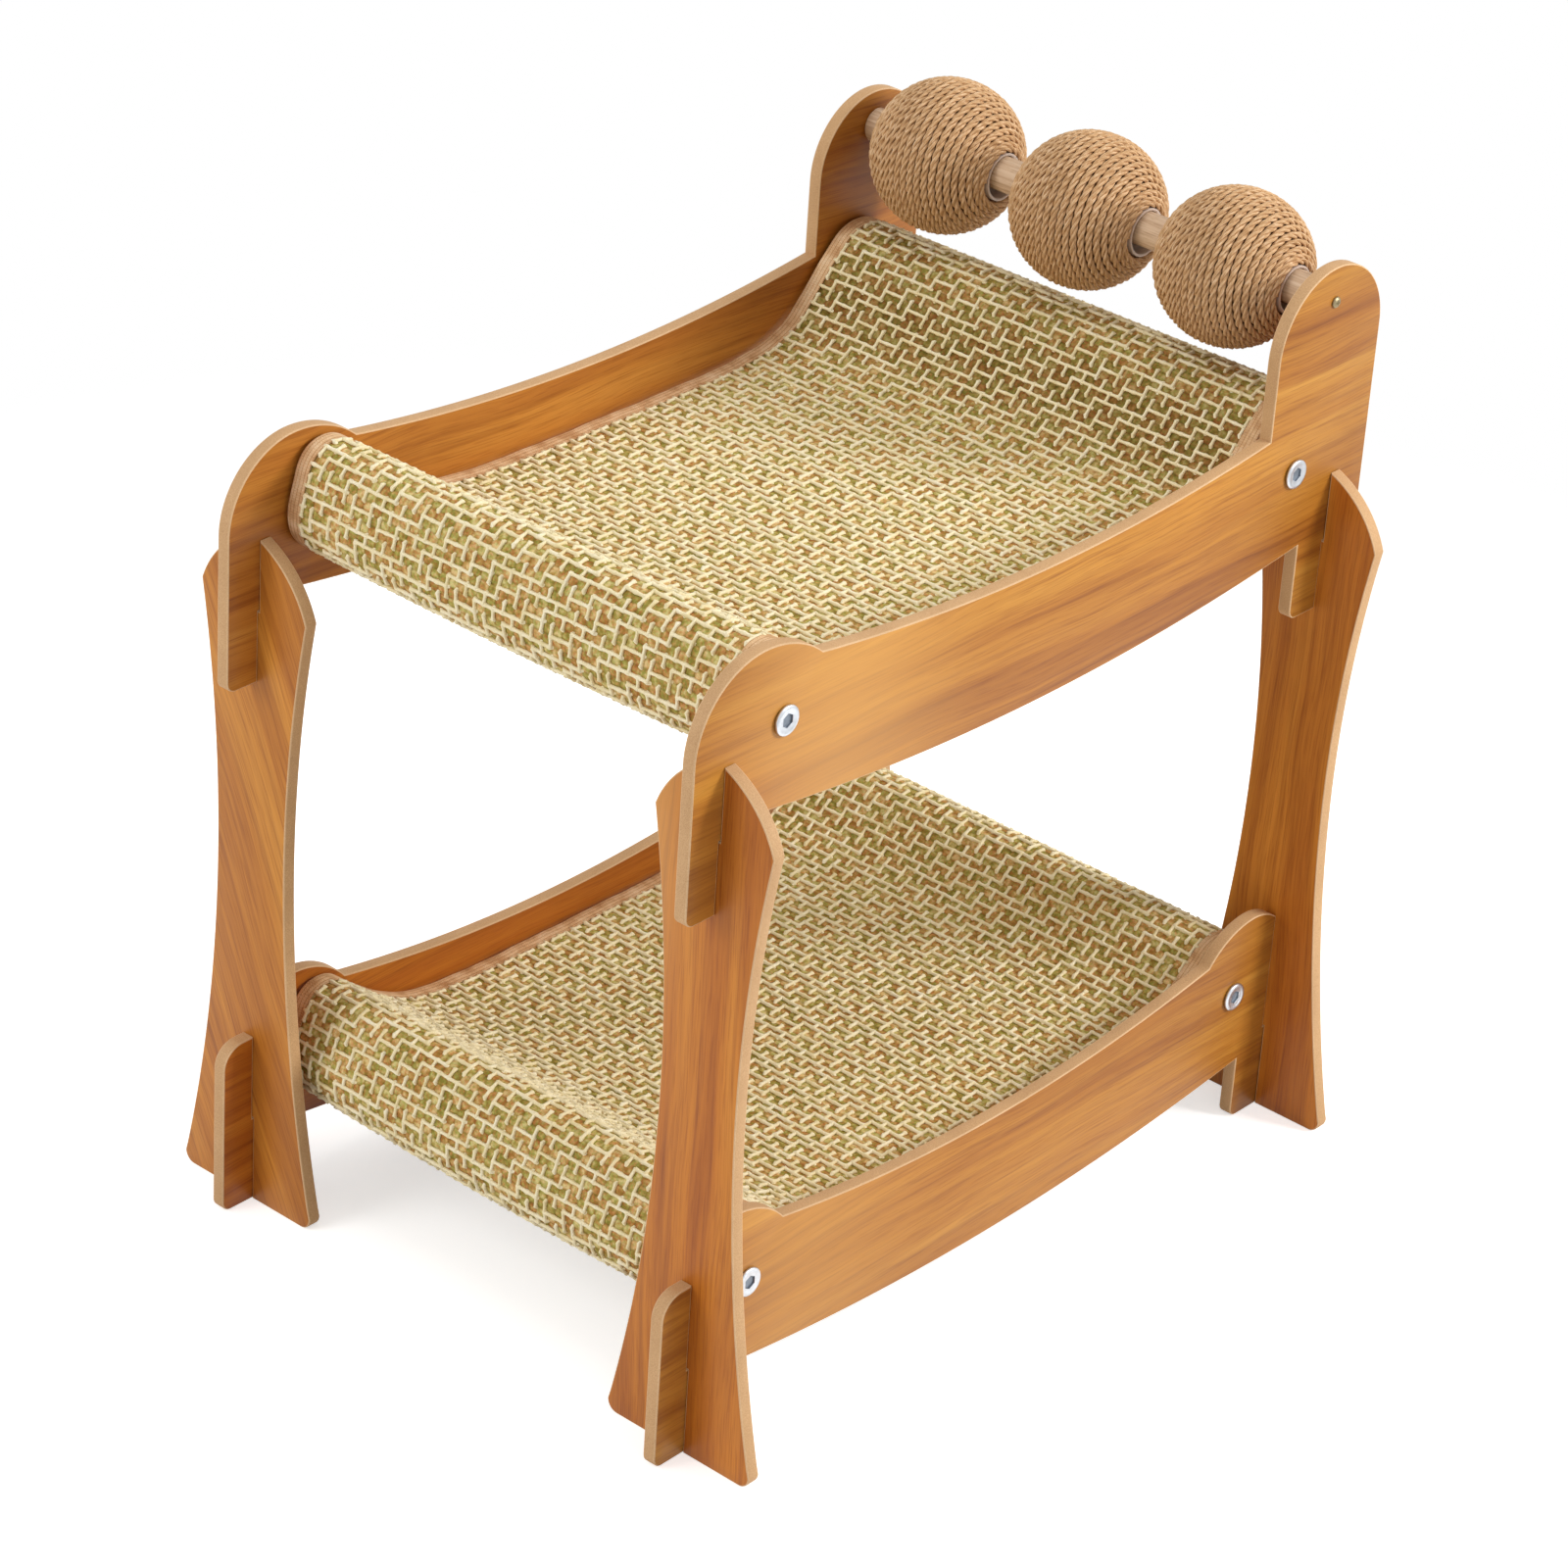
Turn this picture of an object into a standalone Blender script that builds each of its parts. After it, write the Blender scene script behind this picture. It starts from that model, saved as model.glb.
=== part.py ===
"""Two-storey cat bed of slotted boards with two woven mats and three rope balls.

Metres, +Z up, front towards -Y, left towards -X. The origin is on the floor
under the middle of the bed.
"""
import math

import bmesh
import bpy
from mathutils import Matrix, Vector

# Boards
BOARD = 0.008                  # thickness of every panel and leg
INNER_WIDTH = 0.320            # clear width between the side panels
PANEL_LENGTH = 0.548
LEG_INSET = 0.026              # panel end to the middle of the leg board
AXIS_INSET = 0.0655            # panel end to the cross tube's axis
UPPER_AXIS_Z = 0.422
LOWER_AXIS_Z = 0.0884
CLEAR = 0.0003                 # gap between pieces that touch
CORNER = 0.006                 # rounding of tab and foot corners

# Side panels, heights above the tube axis
INNER_TAB = 0.024              # tab or foot width on the inner side of the leg
EDGE_RISE = 0.0265             # ends of the hollow top edge
EDGE_SAG = 0.013
LOWER_EDGE_SAG = 0.016
BELLY_DROP = 0.048             # ends of the bowed bottom edge
BELLY_SAG = 0.0150
UPPER_TAB_DROP = 0.0945        # bottom of the upper panel's hanging tabs
LOBE_RISE = 0.0445
LOBE_OUTER_RADIUS = 0.049
LOBE_INNER_RADIUS = 0.065
LOBE_REACH = 0.0425            # lobe top to the dip behind it
LOWER_LOBE_RISE = 0.0469
LOWER_LOBE_INSET = 0.052       # panel end to the lower lobe's top
LOWER_LOBE_OUTER_RADIUS = 0.034
LOWER_LOBE_INNER_RADIUS = 0.052
LOWER_LOBE_REACH = 0.0395
LOWER_TAB_HEIGHT = 0.106       # top of the foot in front of the leg
LOWER_TAB_CORNER = 0.014
EAR_RADIUS = 0.0455
DOWEL_RISE = 0.096             # dowel above the upper tube axis
EAR_ABOVE_DOWEL = 0.0205

# Legs
LEG_TOP_DROP = 0.011           # leg top below the upper tube axis
WAIST_HALF = 0.026
WAIST_Z = 0.220
FOOT_HALF = 0.0518
WING_HALF = 0.0397
WING_DROP = 0.0375             # widest point below the leg's top
WING_BULGE = 0.0055
FOOT_CORNER = 0.007

# Cross tubes, plugs, nuts and bolts
TUBE_DIAMETER = 0.045
TUBE_WALL = 0.002
PLUG_LENGTH = 0.016
BOLT_DIAMETER = 0.0056
BOLT_LENGTH = 0.030
BOLT_HEAD_DIAMETER = 0.017
BOLT_HEAD_HEIGHT = 0.0026
SOCKET_FLATS = 0.004
SOCKET_DEPTH = 0.0018
NUT_FLATS = 0.010
NUT_THICKNESS = 0.005

# Mats and their edge binding
MAT_THICKNESS = 0.0016
MAT_MARGIN = 0.003             # gap between the mat and either side panel
BINDING_WIDTH = 0.009
BINDING_TAPE = 0.0007
# The slack of each roll hugs a circle above its tube: outward and upward offset
# of that circle, its radius over the tube's, and the slope at which the seat leaves it
UPPER_ROLLS = {"front": (0.0010, 0.0175, -0.0025, 36.0),
               "rear": (0.0060, 0.0115, 0.0075, 47.0)}
LOWER_ROLLS = {"front": (-0.0015, 0.0200, -0.0035, 38.0),
               "rear": (0.0010, 0.0080, 0.0015, 40.0)}
UPPER_SEAT_DROP = 0.0205       # middle of the mat below the tube axis
LOWER_SEAT_DROP = 0.0070
ROLL_STEP = 20.0               # degrees between the corners of a roll
SEAT_STEPS = 7                 # corners in half a seat

# Rope balls on their dowel
DOWEL_DIAMETER = 0.020
DOWEL_PILOT_DEPTH = 0.024
SCREW_DIAMETER = 0.003
SCREW_LENGTH = 0.030
SCREW_HEAD_DIAMETER = 0.0065
SCREW_HEAD_HEIGHT = 0.0018
BALL_DIAMETER = 0.090
BALL_COUNT = 3
BALL_SPREAD = 0.275            # share of the dowel's free length in each gap between balls
BALL_ROW_SHIFT = -0.0026       # the row of balls sits a little to the left
LINER_PLAY = 0.005             # liner bore over the dowel's diameter
LINER_WALL = 0.0015
LINER_PROUD = 0.0007           # liner end beyond the outermost rope
ROPE_DIAMETER = 0.0071
ROPE_GAP = 0.0012              # least room between neighbouring turns
ROPE_POINTS_PER_TURN = 14

# Worked out from the sizes above
HALF_INNER = INNER_WIDTH / 2
PANEL_X = HALF_INNER + BOARD / 2
OUTER_X = HALF_INNER + BOARD
PANEL_END = PANEL_LENGTH / 2
LEG_Y = PANEL_END - LEG_INSET
AXIS_Y = PANEL_END - AXIS_INSET
SLOT_HALF = BOARD / 2 + CLEAR
INNER_TAB_Y = LEG_Y - BOARD / 2 - INNER_TAB
UPPER_TAB_Z = UPPER_AXIS_Z - UPPER_TAB_DROP
LEG_TOP = UPPER_AXIS_Z - LEG_TOP_DROP
UPPER_LAP_Z = (UPPER_TAB_Z + LEG_TOP) / 2
LOWER_LAP_Z = LOWER_TAB_HEIGHT / 2
EAR_Y = PANEL_END - EAR_RADIUS
DOWEL_Z = UPPER_AXIS_Z + DOWEL_RISE
EAR_Z = DOWEL_Z + EAR_ABOVE_DOWEL - EAR_RADIUS
TUBE_RADIUS = TUBE_DIAMETER / 2
TUBE_SIDES = 24
PLUG_RADIUS = (TUBE_RADIUS - TUBE_WALL) * math.cos(math.pi / TUBE_SIDES) - CLEAR
BINDING_THICKNESS = MAT_THICKNESS + 2 * (CLEAR + BINDING_TAPE)
LINER_BORE = DOWEL_DIAMETER + LINER_PLAY
LINER_RADIUS = LINER_BORE / 2 + LINER_WALL
ROPE_RADIUS = ROPE_DIAMETER / 2
ROPE_ROW_RADIUS = BALL_DIAMETER / 2 - ROPE_RADIUS
MAT_WIDTH = INNER_WIDTH - 2 * MAT_MARGIN
ROPE_RIM = (LINER_RADIUS + CLEAR + ROPE_RADIUS) / math.cos(math.pi / ROPE_POINTS_PER_TURN)
ROPE_START = math.asin(ROPE_RIM / ROPE_ROW_RADIUS)
LINER_LENGTH = 2 * (ROPE_ROW_RADIUS * math.cos(ROPE_START) + ROPE_RADIUS + LINER_PROUD)
BALL_DROP = LINER_PLAY / 2 - CLEAR
BALL_PITCH = LINER_LENGTH + BALL_SPREAD * (INNER_WIDTH - BALL_COUNT * LINER_LENGTH)


def clear_scene():
    """Remove every object that is in the scene."""
    for item in list(bpy.data.objects):
        bpy.data.objects.remove(item, do_unlink=True)


def material(name, colour, roughness, metallic=0.0):
    """A Principled material in one colour."""
    made = bpy.data.materials.new(name)
    made.use_nodes = True
    shader = made.node_tree.nodes["Principled BSDF"]
    shader.inputs["Base Color"].default_value = (*colour, 1.0)
    shader.inputs["Roughness"].default_value = roughness
    shader.inputs["Metallic"].default_value = metallic
    return made


def add_object(name, data, finish, location=(0.0, 0.0, 0.0), parent=None):
    """Put a mesh or curve into the scene as one named object."""
    made = bpy.data.objects.new(name, data)
    made.location = location
    made.parent = parent
    if not data.materials:
        data.materials.append(finish)
    bpy.context.scene.collection.objects.link(made)
    return made


def mesh_from(bm, name):
    """Close a bmesh into a mesh whose faces point out and whose round parts are smooth."""
    bmesh.ops.recalc_face_normals(bm, faces=bm.faces)
    data = bpy.data.meshes.new(name)
    bm.to_mesh(data)
    bm.free()
    data.shade_smooth()
    data.set_sharp_from_angle(angle=math.radians(35))
    return data


def bore_radius(radius, sides):
    """Corner radius of a many-sided hole whose flats clear a round pin."""
    return (radius + CLEAR) / math.cos(math.pi / sides)


def arc(centre, radius, start, end, steps):
    """Points on a circle from one angle to another, in degrees."""
    angles = [math.radians(start + (end - start) * k / steps) for k in range(steps + 1)]
    return [(centre[0] + radius * math.cos(a), centre[1] + radius * math.sin(a)) for a in angles]


def bulged(start, end, bulge, steps):
    """A circular arc between two points whose middle lies to the left by the bulge."""
    chord = Vector(end) - Vector(start)
    left = Vector((-chord.y, chord.x)).normalized()
    radius = (chord.length_squared / 4 + bulge * bulge) / (2 * abs(bulge))
    side = math.copysign(1.0, bulge)
    centre = (Vector(start) + Vector(end)) / 2 + left * (bulge - side * radius)
    first = math.atan2(start[1] - centre.y, start[0] - centre.x)
    sweep = -side * 2 * math.asin(chord.length / (2 * radius))
    return arc(centre, radius, math.degrees(first), math.degrees(first + sweep), steps)


def mirrored(points):
    """The same points on the other side of zero, in the opposite order."""
    return [(-a, b) for a, b in reversed(points)]


def board_mesh(name, outline, normal):
    """Extrude an outline to one board thickness along X or Y, centred on its plane."""
    bm = bmesh.new()
    if normal == "X":
        corners = [bm.verts.new((-BOARD / 2, a, b)) for a, b in outline]
        step = Vector((BOARD, 0, 0))
    else:
        corners = [bm.verts.new((a, -BOARD / 2, b)) for a, b in outline]
        step = Vector((0, BOARD, 0))
    face = bm.faces.new(corners)
    grown = bmesh.ops.extrude_face_region(bm, geom=[face])
    moved = [item for item in grown["geom"] if isinstance(item, bmesh.types.BMVert)]
    bmesh.ops.translate(bm, verts=moved, vec=step)
    return mesh_from(bm, name)


def turned_mesh(name, profile, segments, closed):
    """Spin a profile of (x, radius) points round the X axis."""
    bm = bmesh.new()
    points = [bm.verts.new((x, 0, radius)) for x, radius in profile]
    edges = [bm.edges.new(pair) for pair in zip(points, points[1:])]
    if closed:
        edges.append(bm.edges.new((points[-1], points[0])))
    bmesh.ops.spin(bm, geom=points + edges, cent=(0, 0, 0), axis=(1, 0, 0),
                   angle=2 * math.pi, steps=segments, use_merge=True)
    bmesh.ops.remove_doubles(bm, verts=bm.verts, dist=0.000005)
    return mesh_from(bm, name)


def prism_mesh(name, sides, radius, start, end):
    """A straight prism along X between two places."""
    bm = bmesh.new()
    placed = Matrix.Translation(((start + end) / 2, 0, 0)) @ Matrix.Rotation(math.pi / 2, 4, "Y")
    bmesh.ops.create_cone(bm, cap_ends=True, segments=sides, radius1=radius,
                          radius2=radius, depth=end - start, matrix=placed)
    return mesh_from(bm, name)


def cutter(name, data, location=(0.0, 0.0, 0.0)):
    """A guide object that only cuts others."""
    made = bpy.data.objects.new(name, data)
    made.location = location
    made.hide_render = True
    made.display_type = "WIRE"
    bpy.context.scene.collection.objects.link(made)
    return made


def cut(target, tool):
    """Subtract the tool from the target."""
    step = target.modifiers.new(tool.name, "BOOLEAN")
    step.operation = "DIFFERENCE"
    step.solver = "EXACT"
    step.object = tool


def cut_mesh(name, data, tools):
    """The mesh that is left of a shape after each tool is taken from it."""
    blank = bpy.data.objects.new(name, data)
    bpy.context.scene.collection.objects.link(blank)
    for tool in tools:
        cut(blank, tool)
    graph = bpy.context.evaluated_depsgraph_get()
    result = bpy.data.meshes.new_from_object(blank.evaluated_get(graph))
    result.name = name
    for item in [blank, *tools]:
        bpy.data.objects.remove(item, do_unlink=True)
    result.shade_smooth()
    result.set_sharp_from_angle(angle=math.radians(35))
    return result


def upper_outline():
    """Side panel of the upper storey: hanging tabs, bowed belly, tall ear and front lobe."""
    slot_in = LEG_Y - SLOT_HALF
    slot_out = LEG_Y + SLOT_HALF
    corner_z = UPPER_TAB_Z + CORNER
    tabs = arc((-PANEL_END + CORNER, corner_z), CORNER, 180, 270, 4)
    tabs += [(-slot_out, UPPER_TAB_Z), (-slot_out, UPPER_LAP_Z + CLEAR)]
    tabs += [(-slot_in, UPPER_LAP_Z + CLEAR), (-slot_in, UPPER_TAB_Z)]
    tabs += arc((-INNER_TAB_Y - CORNER, corner_z), CORNER, 270, 360, 4)
    belly_z = UPPER_AXIS_Z - BELLY_DROP
    belly = bulged((-INNER_TAB_Y, belly_z), (INNER_TAB_Y, belly_z), -BELLY_SAG, 14)
    ear = arc((EAR_Y, EAR_Z), EAR_RADIUS, 0, 180, 16)
    step = (EAR_Y - EAR_RADIUS, UPPER_AXIS_Z + EDGE_RISE)
    lobe_y = -PANEL_END + LOBE_OUTER_RADIUS
    lobe_top = UPPER_AXIS_Z + LOBE_RISE
    turn = math.degrees(math.acos(LOBE_REACH / LOBE_INNER_RADIUS))
    lobe = arc((lobe_y, lobe_top - LOBE_INNER_RADIUS), LOBE_INNER_RADIUS, turn, 90, 6)
    lobe += arc((lobe_y, lobe_top - LOBE_OUTER_RADIUS), LOBE_OUTER_RADIUS, 90, 180, 8)[1:]
    edge = bulged(step, lobe[0], EDGE_SAG, 12)
    return tabs + belly + mirrored(tabs) + ear + edge[:-1] + lobe


def lower_outline():
    """Side panel of the lower storey: feet that reach the floor and a lobe at each end."""
    slot_in = LEG_Y - SLOT_HALF
    slot_out = LEG_Y + SLOT_HALF
    lap = LOWER_LAP_Z
    feet = arc((-PANEL_END + CORNER, CORNER), CORNER, 180, 270, 4)
    feet += arc((-INNER_TAB_Y - CORNER, CORNER), CORNER, 270, 360, 4)
    belly_z = LOWER_AXIS_Z - BELLY_DROP
    belly = bulged((-INNER_TAB_Y, belly_z), (INNER_TAB_Y, belly_z), -BELLY_SAG, 14)
    tab_z = LOWER_TAB_HEIGHT - LOWER_TAB_CORNER
    lobe_y = PANEL_END - LOWER_LOBE_INSET
    lobe_top = LOWER_AXIS_Z + LOWER_LOBE_RISE
    side = arc((PANEL_END - LOWER_TAB_CORNER, tab_z), LOWER_TAB_CORNER, 0, 90, 6)
    side += [(slot_out, LOWER_TAB_HEIGHT), (slot_out, lap), (slot_in, lap)]
    start = math.degrees(math.acos((slot_in - lobe_y) / LOWER_LOBE_OUTER_RADIUS))
    outer = (lobe_y, lobe_top - LOWER_LOBE_OUTER_RADIUS)
    side += arc(outer, LOWER_LOBE_OUTER_RADIUS, start, 90, 5)
    end = 180 - math.degrees(math.acos(LOWER_LOBE_REACH / LOWER_LOBE_INNER_RADIUS))
    inner = (lobe_y, lobe_top - LOWER_LOBE_INNER_RADIUS)
    side += arc(inner, LOWER_LOBE_INNER_RADIUS, 90, end, 6)[1:]
    edge = bulged(side[-1], (-side[-1][0], side[-1][1]), LOWER_EDGE_SAG, 12)
    return feet + belly + mirrored(feet) + side + edge[1:-1] + mirrored(side)


def leg_outline():
    """Leg board: ogee wings over a waist and a flared foot, slotted at both ends."""
    wing = (WING_HALF, LEG_TOP - WING_DROP)
    rise = wing[1] - WAIST_Z
    flare = FOOT_HALF - WAIST_HALF
    spread = WING_HALF - WAIST_HALF
    low_radius = (WAIST_Z ** 2 + flare ** 2) / (2 * flare)
    high_radius = (rise ** 2 + spread ** 2) / (2 * spread)
    low_start = math.degrees(math.asin((WAIST_Z - FOOT_CORNER) / low_radius))
    lean = math.radians(low_start)
    low_centre = (WAIST_HALF + low_radius, WAIST_Z)
    low = arc(low_centre, low_radius, 180 + low_start, 180, 10)
    high_end = math.degrees(math.asin(rise / high_radius))
    high = arc((WAIST_HALF + high_radius, WAIST_Z), high_radius, 180, 180 - high_end, 8)
    toe_x = low[0][0] - FOOT_CORNER * math.cos(lean)
    toe_z = FOOT_CORNER
    toe = arc((toe_x, toe_z), FOOT_CORNER, 270, 360, 5)
    side = [(SLOT_HALF, LOWER_LAP_Z + CLEAR), (SLOT_HALF, 0.0)] + toe + low[1:] + high[1:-1]
    side += bulged(wing, (SLOT_HALF, LEG_TOP), -WING_BULGE, 7)
    side += [(SLOT_HALF, UPPER_LAP_Z)]
    return side + mirrored(side)


def make_boards(wood):
    """Four slotted side panels and four slotted legs."""
    bolt_hole = prism_mesh("bolt_hole", 12, bore_radius(BOLT_DIAMETER / 2, 12), -BOARD, BOARD)
    screw_hole = prism_mesh("screw_hole", 10, bore_radius(SCREW_DIAMETER / 2, 10), -BOARD, BOARD)
    outlines = {"upper": upper_outline(), "lower": lower_outline()}
    for storey, height in (("upper", UPPER_AXIS_Z), ("lower", LOWER_AXIS_Z)):
        holes = [(bolt_hole, -AXIS_Y, height), (bolt_hole, AXIS_Y, height)]
        if storey == "upper":
            holes.append((screw_hole, EAR_Y, DOWEL_Z))
        tools = [cutter("cut_hole", data, (0, y, z)) for data, y, z in holes]
        blank = board_mesh(f"{storey}_panel", outlines[storey], "X")
        panel = cut_mesh(f"{storey}_panel", blank, tools)
        add_object(f"{storey}_panel_left", panel, wood, (-PANEL_X, 0, 0))
        add_object(f"{storey}_panel_right", panel, wood, (PANEL_X, 0, 0))
    data = board_mesh("leg", leg_outline(), "Y")
    for end, y in (("front", -LEG_Y), ("rear", LEG_Y)):
        for side, x in (("left", -PANEL_X), ("right", PANEL_X)):
            add_object(f"leg_{end}_{side}", data, wood, (x, y, 0))


def bolt_mesh():
    """Flanged bolt along X: the seat of its head at zero, the head outwards."""
    shank = BOLT_DIAMETER / 2
    rim = BOLT_HEAD_DIAMETER / 2
    tall = BOLT_HEAD_HEIGHT
    profile = [(-BOLT_LENGTH, 0), (-BOLT_LENGTH, shank), (0, shank), (0, rim)]
    profile += [(tall * 0.4, rim), (tall * 0.8, rim * 0.86), (tall, rim * 0.6), (tall, 0)]
    blank = turned_mesh("bolt", profile, 14, closed=False)
    radius = SOCKET_FLATS / math.sqrt(3)
    socket = prism_mesh("socket", 6, radius, tall - SOCKET_DEPTH, tall + SOCKET_DEPTH)
    return cut_mesh("bolt", blank, [cutter("cut_socket", socket)])


def plug_mesh():
    """Tube plug along X: its outer face at zero, a hexagon pocket in its inner face."""
    bore = bore_radius(BOLT_DIAMETER / 2, 16)
    profile = [(0, bore), (0, PLUG_RADIUS), (-PLUG_LENGTH, PLUG_RADIUS), (-PLUG_LENGTH, bore)]
    blank = turned_mesh("plug", profile, 16, closed=True)
    radius = (NUT_FLATS + 2 * CLEAR) / math.sqrt(3)
    floor = -PLUG_LENGTH + NUT_THICKNESS + CLEAR
    pocket = prism_mesh("pocket", 6, radius, -PLUG_LENGTH - NUT_THICKNESS, floor)
    return cut_mesh("plug", blank, [cutter("cut_pocket", pocket)])


def nut_mesh():
    """Hexagon nut along X, its outer face at zero."""
    blank = prism_mesh("nut", 6, NUT_FLATS / math.sqrt(3), -NUT_THICKNESS, 0)
    bore = bore_radius(BOLT_DIAMETER / 2, 10)
    hole = prism_mesh("nut_hole", 10, bore, -2 * NUT_THICKNESS, NUT_THICKNESS)
    return cut_mesh("nut", blank, [cutter("cut_nut", hole)])


def make_cross_tubes(tube_finish, plug_finish, steel):
    """Four tubes across the bed, each held by a bolt through either panel into a plug."""
    half = HALF_INNER - CLEAR
    wall = [(-half, TUBE_RADIUS), (half, TUBE_RADIUS)]
    wall += [(half, TUBE_RADIUS - TUBE_WALL), (-half, TUBE_RADIUS - TUBE_WALL)]
    tube = turned_mesh("cross_tube", wall, TUBE_SIDES, closed=True)
    bolt = bolt_mesh()
    plug = plug_mesh()
    nut = nut_mesh()
    nut_seat = half - PLUG_LENGTH + NUT_THICKNESS
    for storey, height in (("upper", UPPER_AXIS_Z), ("lower", LOWER_AXIS_Z)):
        for end, y in (("front", -AXIS_Y), ("rear", AXIS_Y)):
            place = f"{storey}_{end}"
            add_object(f"cross_tube_{place}", tube, tube_finish, (0, y, height))
            for side, sign in (("left", -1), ("right", 1)):
                turn = 0 if sign > 0 else math.pi
                pieces = [("plug", plug, plug_finish, half), ("nut", nut, steel, nut_seat)]
                pieces.append(("bolt", bolt, steel, OUTER_X + CLEAR))
                for kind, data, finish, x in pieces:
                    made = add_object(f"{kind}_{place}_{side}", data, finish, (sign * x, y, height))
                    made.rotation_euler = (0, 0, turn)


def roll_points(offset, extra_radius, leave):
    """Centreline of a mat's loop round its tube, as (outward, up) from the tube axis.

    The loop hugs the tube below and a second circle above it. It starts at the
    hem under the seat, passes the bottom and the outer side, and ends on top
    where the seat leaves it.
    """
    hug = (TUBE_RADIUS + CLEAR + BINDING_THICKNESS / 2) / math.cos(math.radians(ROLL_STEP / 2))
    top = TUBE_RADIUS + extra_radius - MAT_THICKNESS / 2
    lift = math.hypot(*offset)
    lean = math.degrees(math.atan2(offset[1], offset[0]))
    spread = math.degrees(math.acos((hug - top) / lift))
    end = 450 + leave
    layers = BINDING_THICKNESS + 2 * CLEAR
    start = 90 + leave + math.degrees(math.acos(1 - layers / top))
    turns = [(start, lean + spread, offset, top), (lean + spread, lean + 360 - spread, (0, 0), hug),
             (lean + 360 - spread, end, offset, top)]
    points = []
    for first, last, centre, radius in turns:
        if last > first:
            steps = math.ceil((last - first) / ROLL_STEP)
            points += arc(centre, radius, first, last, steps)
    return points


def mat_path(height, rolls, seat_drop):
    """Centreline of a mat seen from the side: front roll, hanging seat, rear roll."""
    seat_z = height - seat_drop
    ends = []
    for end, side in (("front", -1), ("rear", 1)):
        out, up, extra_radius, leave = rolls[end]
        loop = roll_points((out, up), extra_radius, leave)
        loop = [(side * (AXIS_Y + u), height + v) for u, v in loop]
        y, z = loop[-1]
        corner = y - side * (z - seat_z) / math.tan(math.radians(leave))
        for k in range(1, SEAT_STEPS):
            t = 1 - k / SEAT_STEPS
            loop.append((3 * t * (1 - t) * corner + t ** 3 * y, seat_z + t ** 3 * (z - seat_z)))
        ends.append(loop)
    return ends[0] + [(0.0, seat_z)] + ends[1][::-1]


def path_normals(path):
    """Unit normals of a path in its own plane, one for each point."""
    normals = []
    for k in range(len(path)):
        before = Vector(path[max(k - 1, 0)])
        after = Vector(path[min(k + 1, len(path) - 1)])
        along = (after - before).normalized()
        normals.append(Vector((-along.y, along.x)))
    return normals


def swept_mesh(name, path, section, caps):
    """Carry a closed section of (x, offset) points along a path in the YZ plane.

    The caps name the section's corners, four at a time, that close either end.
    """
    bm = bmesh.new()
    rings = []
    for (y, z), normal in zip(path, path_normals(path)):
        ring = []
        for x, offset in section:
            ring.append(bm.verts.new((x, y + offset * normal.x, z + offset * normal.y)))
        rings.append(ring)
    count = len(section)
    for one, two in zip(rings, rings[1:]):
        for k in range(count):
            other = (k + 1) % count
            bm.faces.new((one[k], one[other], two[other], two[k]))
    for ring in (rings[0], rings[-1]):
        for corners in caps:
            bm.faces.new([ring[k] for k in corners])
    return mesh_from(bm, name)


def make_mats(mat_finish, binding_finish):
    """Two woven mats slung between the tubes, their side edges bound with folded tape."""
    edge = MAT_WIDTH / 2
    thick = MAT_THICKNESS / 2
    inner = thick + CLEAR
    outer = BINDING_THICKNESS / 2
    mouth = edge - BINDING_WIDTH
    fold = edge + CLEAR
    rim = fold + BINDING_TAPE
    flat = [(-edge, -thick), (edge, -thick), (edge, thick), (-edge, thick)]
    folded = [(mouth, -outer), (rim, -outer), (rim, outer), (mouth, outer)]
    folded += [(mouth, inner), (fold, inner), (fold, -inner), (mouth, -inner)]
    storeys = (("upper", UPPER_AXIS_Z, UPPER_ROLLS, UPPER_SEAT_DROP),
               ("lower", LOWER_AXIS_Z, LOWER_ROLLS, LOWER_SEAT_DROP))
    for storey, height, rolls, drop in storeys:
        path = mat_path(height, rolls, drop)
        add_object(f"mat_{storey}", swept_mesh("mat", path, flat, [(0, 1, 2, 3)]), mat_finish)
        for side, sign in (("left", -1), ("right", 1)):
            section = [(sign * x, offset) for x, offset in folded]
            caps = [(0, 1, 6, 7), (1, 2, 5, 6), (2, 3, 4, 5)]
            data = swept_mesh("binding", path, section, caps)
            add_object(f"binding_{storey}_{side}", data, binding_finish)


def rope_path():
    """Centreline of the rope: a spiral over the ball from one bore rim to the other."""
    length = ROPE_ROW_RADIUS * (math.pi - 2 * ROPE_START)
    turns = math.floor(length / (ROPE_DIAMETER + ROPE_GAP))
    steps = turns * ROPE_POINTS_PER_TURN
    lead = 2 * math.asin(ROPE_DIAMETER / (2 * ROPE_RIM))
    points = []
    for k in range(-1, steps + 2):
        along = min(max(k / steps, 0), 1)
        if k < 0:
            turn = -lead
        elif k > steps:
            turn = 2 * math.pi * turns + lead
        else:
            turn = 2 * math.pi * turns * along
        polar = ROPE_START + (math.pi - 2 * ROPE_START) * along
        ring = ROPE_ROW_RADIUS * math.sin(polar)
        points.append(Vector((-ROPE_ROW_RADIUS * math.cos(polar),
                              ring * math.cos(turn), ring * math.sin(turn))))
    return points


def least_gap(points, diameter):
    """Smallest clear distance between stretches of a tube that aren't neighbours."""
    fine = [a.lerp(b, k / 4) for a, b in zip(points, points[1:]) for k in range(4)]
    apart = 3 * ROPE_POINTS_PER_TURN
    least = math.inf
    for k, point in enumerate(fine):
        for other in fine[k + apart::1]:
            least = min(least, (point - other).length)
    return least - diameter


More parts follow.
